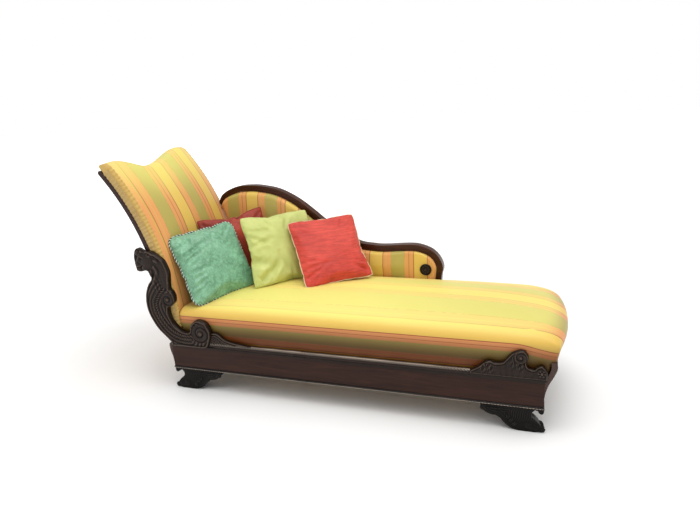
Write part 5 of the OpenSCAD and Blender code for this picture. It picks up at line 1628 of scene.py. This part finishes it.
def add_paw(bm):
    """The paw as balls and rods round its outline, in millimetres from its own corner."""
    extrude_xz(bm, paw_outline, 5.5, paw_d - 5.5)
    cap_l, cap_low = paw_l * 0.978, paw_top - 6
    extrude_xz(bm, [(1, cap_low), (cap_l, cap_low), (cap_l, paw_top), (1, paw_top)], 3.0, paw_d - 3.0)
    toes = 4
    for i in range(toes):
        y = 2 + (paw_d - 4) / toes * (i + 0.5)
        ball_in(bm, (paw_l * 0.74, y, 31), 16, (1.25, 0.80, 0.95))
        ball_in(bm, (paw_l * 0.865, y, 25), 16, (1.2, 0.60, 0.98))
        rod_in(bm, (paw_l * 0.72, y, 27), (paw_l * 0.88, y, 15), 12, 9.5)
        ball_in(bm, (paw_l * 0.955, y, 14), 13, (1.1, 0.66, 1.0))
        rod_in(bm, (paw_l * 0.965, y, 11), (paw_l * 0.995, y, 3.2), 6.0, 2.2)
    # Heel pads and the fur of the fetlock
    ball_in(bm, (paw_l * 0.60, paw_d / 2, 13), 13, (2.4, 2.6, 1.0))
    for a, b, w in ((0.44, 0.53, 0.40), (0.49, 0.405, 0.44), (0.54, 0.275, 0.47)):
        for side in (-1, 1):
            at = (paw_l * a, paw_d / 2 + side * paw_d * 0.24, paw_top * b)
            ball_in(bm, at, 13, (1.15, paw_d * w * 0.052, 0.9))
    # Rolled end of the bracket and the drop at its corner
    for y in (7.5, paw_d - 7.5):
        ball_in(bm, (paw_l * 0.075, y, paw_top * 0.80), 15, (1.25, 0.36, 1.0))
        ball_in(bm, (paw_l * 0.20, y, paw_top * 0.76), 17, (1.5, 0.30, 1.0))
    rod_in(bm, (paw_l * 0.94, 6, paw_top * 0.83), (paw_l * 0.94, paw_d - 6, paw_top * 0.83), 7.0, 7.0)


def paw_blank():
    """Those forms joined to one smooth skin: points, normals and faces."""
    me = solid_of("paw_blank", add_paw)
    o = linked("paw_blank", me)
    modifier(o, "REMESH", mode="VOXEL", voxel_size=2.1, adaptivity=0.0)
    modifier(o, "SMOOTH", factor=0.5, iterations=5)
    done = evaluated(o).data
    verts = np.array([v.co for v in done.vertices])
    normals = np.array([v.normal for v in done.vertices])
    faces = [tuple(f.vertices) for f in done.polygons]
    bpy.data.objects.remove(o)
    bpy.data.meshes.remove(me)
    return verts, normals, faces


def paw_cuts(verts, normals):
    """How far the carving stands out: hair on the leg, acanthus on the bracket, wrinkles on the toes."""
    x, y, z = verts.T
    u, t = x / paw_l, z / paw_top
    away, _ = edge_distance(np.stack([x, z], 1), paw_outline)
    side = smooth((np.abs(normals[:, 1]) - 0.3) / 0.4)
    bracket = smooth((0.50 - u) / 0.08) * smooth((t - 0.45) / 0.1)
    leg = smooth((u - 0.34) / 0.08) * smooth((0.90 - u) / 0.08) * smooth((t - 0.36) / 0.10)
    line = np.cos(away * 2 * np.pi / 9.5)
    veins = 0.9 * np.cos((x + 1.4 * z) * 2 * np.pi / 14) * smooth((away - 9) / 4)
    push = bracket * side * (1.5 * line + veins)
    hair = np.cos((x * 1.0 - z * 0.45 + 5 * np.sin(z / 11) + 3 * np.sin(y / 8)) * 2 * np.pi / 8.5)
    push = push + leg * 1.25 * hair
    back_hair = smooth((0.62 - u) / 0.05) * smooth((u - 0.34) / 0.05) * smooth((0.5 - t) / 0.15)
    push = push + back_hair * 1.1 * np.cos((z * 1.0 + x * 0.5 + 3 * np.sin(y / 6)) * 2 * np.pi / 8)
    toes = smooth((u - 0.66) / 0.05) * smooth((0.42 - t) / 0.1)
    push = push + toes * 0.45 * np.cos(x * 2 * np.pi / 7.5 + 2 * np.sin(y / 5))
    return push * smooth((paw_top - 2 - z) / 4) * smooth((z - 1.5) / 4)


def paw_shape():
    """The carved paw: points, faces, and where it stands proud."""
    verts, normals, faces = paw_blank()
    verts = verts + normals * paw_cuts(verts, normals)[:, None]
    verts = np.clip(verts, [0, -6, 0], [paw_l + 6, paw_d + 4, paw_top])
    # The inner toes stand back from the outer ones
    inward = smooth((verts[:, 0] / paw_l - 0.50) / 0.14) * smooth((0.97 - verts[:, 2] / paw_top) / 0.08)
    share = np.clip(verts[:, 1] / paw_d, 0, 1)
    verts[:, 0] -= 0.040 * paw_l * share * inward
    verts[:, 1] -= 22 * share * inward
    pairs = edges_of(faces)
    soft = np.stack([spread(verts[:, k], pairs, 8, len(verts)) for k in range(3)], 1)
    # High places lighter by wear and a painted highlight, hollows darker
    relief = np.clip(0.5 + 0.42 * np.sum((verts - soft) * normals, 1), 0, 1)
    return verts, faces, relief


PAW = paw_shape()


def paw(name, mirror, rear):
    """One of the four paws."""
    verts, faces, relief = PAW
    v = verts + np.array([half_l + paw_out - paw_l, 0, 0])
    if mirror:
        v[:, 0] *= -1
    if rear:
        v[:, 1] = rail_d - v[:, 1]
    o = outward(mesh_piece(name + "_carved", v, faces, {"relief": relief}))
    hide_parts(name)
    return dress(o, paw_wood)


# Wood
def soften(name, width=0.0012):
    """Eases the edges of a construction piece."""
    o = nodes[name]
    modifier(o, "WELD", merge_threshold=0.00002)
    modifier(o, "BEVEL", width=width, segments=2, limit_method="ANGLE", angle_limit=math.radians(35),
             harden_normals=False)


def paint(name, material):
    """Gives a construction piece its material."""
    o = nodes[name]
    o.data.materials.clear()
    o.data.materials.append(material)


for n in ("front_rail", "rear_rail"):
    paint(n, mahogany_flat)
    soften(n)
paint("head_board", mahogany_end)


def cut_rebates(o, y0, y1):
    """Takes the room for the ends of the two rails out of the foot board."""
    low, high = floor_gap - 9, fillet_top + clear
    room = [(0, low), (half_l + clear, low), (half_l + clear, high), (0, high)]

    def add(bm):
        extrude_xz(bm, room, y0 - 9, rail_t + clear)
        extrude_xz(bm, room, rail_d - rail_t - clear, y1 + 9)

    blocks = solid_of("rebates", add)
    cutter = outward(mesh_piece("rebates", np.array([v.co for v in blocks.vertices]),
                                [tuple(f.vertices) for f in blocks.polygons], shade=False))
    modifier(o, "BOOLEAN", operation="DIFFERENCE", solver="EXACT", object=cutter)
    cut = bpy.data.meshes.new_from_object(evaluated(o))
    o.modifiers.clear()
    o.data = cut
    bpy.data.objects.remove(cutter)


def foot_board():
    """The shaped board at the foot, eased down towards its ends."""
    low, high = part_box("foot_board")
    y0, y1 = ((v - origin[1]) * 1000 for v in (low.y, high.y))
    inner = foot_line[::-1] - np.array([board_t, 0])
    top = [[foot_line[-1, 0] - board_t * k, board_top + 1.5 * math.sin(math.pi * k)] for k in (0.2, 0.5, 0.8)]
    section = np.vstack([foot_line, top, inner])
    ys = np.concatenate([np.linspace(y0, y0 + 60, 20)[:-1], np.linspace(y0 + 60, y1 - 60, 12),
                         np.linspace(y1 - 60, y1, 20)[1:]])
    keep = smooth((section[:, 1] - lerp(floor_gap, board_top, 0.6)) / (0.4 * (board_top - floor_gap)))
    verts = []
    for y in ys:
        eased_by = 0.11 * (bell(y - y0, 26) + bell(y1 - y, 26))
        z = floor_gap + (section[:, 1] - floor_gap) * (1 - eased_by * keep)
        verts.append(np.column_stack([section[:, 0], np.full(len(section), y), z]))
    faces = bar_faces(len(ys), len(section))
    o = outward(mesh_piece("foot_board_shaped", np.vstack(verts), faces, shade=False))
    cut_rebates(o, y0, y1)
    modifier(o, "BEVEL", width=0.0010, segments=2, limit_method="ANGLE", angle_limit=math.radians(40))
    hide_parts("foot_board")
    return dress(o, mahogany_end)


foot_board()
for n in ("stile_front", "stile_rear"):
    paint(n, mahogany)
    soften(n)
paint("crest_rail", mahogany_crest)
for end in ("front", "rear"):
    rear = end == "rear"
    moulding(end + "_moulding", rear)
    lower_bead(end + "_bead", rear)
    scroll("scroll_" + end, rear)
    leaf("leaf_foot_" + end, rear)
    bud("leaf_head_" + end, rear)
    paw(f"paw_{end}_left", True, rear)
    paw(f"paw_{end}_right", False, rear)
rosette()
for n in ("corner_blocks", "foot_dowels", "headrest_top_rail", "headrest_cross_rail", "headrest_base_rail",
          "cross_stretchers"):
    paint(n, frame_wood_y)
for n in ("back_base_rail", "back_post"):
    paint(n, frame_wood)
for n in ("seat_webbing", "seat_burlap", "headrest_webbing", "back_webbing"):
    paint(n, jute_cloth)
paint("seat_springs", spring_metal)

headrest()
gathered_border("border_front", True)
gathered_border("border_rear", False)
curved_sheet("headrest_cloth", "headrest_cover", 0.005, 0.985, 0.0, 2.5)
seat()
back_panel()
back_cloth()
# Trim: part, cord, radius, how far it winds out, where it starts, and how many turns
pillow("teal", 1, [("rope_dark", black_cord, 2.7, 2.2, 0.0, 84),
                   ("rope_light", white_cord, 2.5, 2.2, math.pi, 84)])
pillow("rust", 2, [("piping", rust_cord, 2.2, 0.0, 0.0, 0)])
pillow("lime", 3)
pillow("coral", 4, [("piping", cream_cord, 2.2, 0.0, 0.0, 0)])

# Floor, light and camera
def lay_floor():
    """White paper that glows more and more away from the couch, into the backdrop."""
    reach = 40
    mesh = bpy.data.meshes.new("floor")
    mesh.from_pydata([(-reach, -reach, 0), (reach, -reach, 0), (reach, reach, 0), (-reach, reach, 0)], [],
                     [(0, 1, 2, 3)])
    p = Paint("floor")
    away = p.node("VectorMath", operation="LENGTH")
    p.put(p.coords(), away.inputs[0])
    glow = p.ramp(p.math("DIVIDE", away.outputs["Value"], 8.0), [(0.16, BLACK), (0.62, WHITE)])
    p.put(p.times(glow, 0.5), p.shader.inputs["Emission Strength"])
    p.shader.inputs["Emission Color"].default_value = (*WHITE, 1)
    paper = p.ramp(p.noise(p.coords(), 2, 2), [(0.3, (0.93,) * 3), (0.7, (0.95,) * 3)])
    mesh.materials.append(p.finish(paper, 0.9))
    linked("floor", mesh)


def light_world():
    """White round the horizon, dim above it, and a broad soft light overhead."""
    world = bpy.data.worlds.new("studio")
    scene.world = world
    world.use_nodes = True
    sky = world.node_tree
    background = sky.nodes["Background"]
    background.inputs[1].default_value = 1.0
    direction = sky.nodes.new("ShaderNodeTexCoord")
    split = sky.nodes.new("ShaderNodeSeparateXYZ")
    levels = sky.nodes.new("ShaderNodeValToRGB")
    sky.links.new(direction.outputs["Generated"], split.inputs[0])
    sky.links.new(split.outputs[2], levels.inputs[0])
    sky.links.new(levels.outputs[0], background.inputs[0])
    stops = ((0.0, 1.0), (0.17, 1.0), (0.26, 0.42), (0.62, 0.42), (0.86, 1.5))
    while len(levels.color_ramp.elements) < len(stops):
        levels.color_ramp.elements.new(0.5)
    for item, (at, value) in zip(levels.color_ramp.elements, stops):
        item.position = at
        item.color = (value, value, value, 1)


def area(name, at, target, size, power, colour=(1, 1, 1)):
    """A soft rectangular lamp aimed at a point."""
    light = bpy.data.lights.new(name, "AREA")
    light.shape = "RECTANGLE"
    light.size, light.size_y = size
    light.energy = power
    light.color = colour
    o = linked(name, light)
    o.location = at
    o.rotation_euler = (Vector(target) - Vector(at)).to_track_quat("-Z", "Y").to_euler()


def set_camera():
    """The photograph's camera, solved from the corners of the couch."""
    eye = np.array([0.7553, -2.0368, 1.2652]) + np.array([origin[0], -mid_y * 0.001, 0])
    azimuth, elevation, roll, focal = 18.55, 15.181, -2.642, 560.07
    sensor_w, photo_w = 36, 700
    a, e, r = (math.radians(v) for v in (azimuth, elevation, roll))
    back = Vector((math.sin(a) * math.cos(e), -math.cos(a) * math.cos(e), math.sin(e)))
    right = (-back).cross(Vector((0, 0, 1))).normalized()
    up = right.cross(-back)
    right, up = math.cos(r) * right + math.sin(r) * up, -math.sin(r) * right + math.cos(r) * up
    camera = linked("camera", bpy.data.cameras.new("camera"))
    camera.data.sensor_width = sensor_w
    camera.data.lens = sensor_w * focal / photo_w
    turned = Matrix((right, up, back)).transposed().to_4x4()
    turned.translation = Vector(eye)
    camera.matrix_world = turned
    scene.camera = camera


lay_floor()
light_world()
area("key", (0.9, -0.7, 3.4), (0.0, 0.0, 0.4), (2.4, 1.8), 42, (1.0, 0.98, 0.94))
area("fill", (-2.6, -2.2, 2.2), (-0.2, 0.0, 0.5), (1.6, 1.4), 10)

set_camera()
scene.view_settings.view_transform = "Standard"
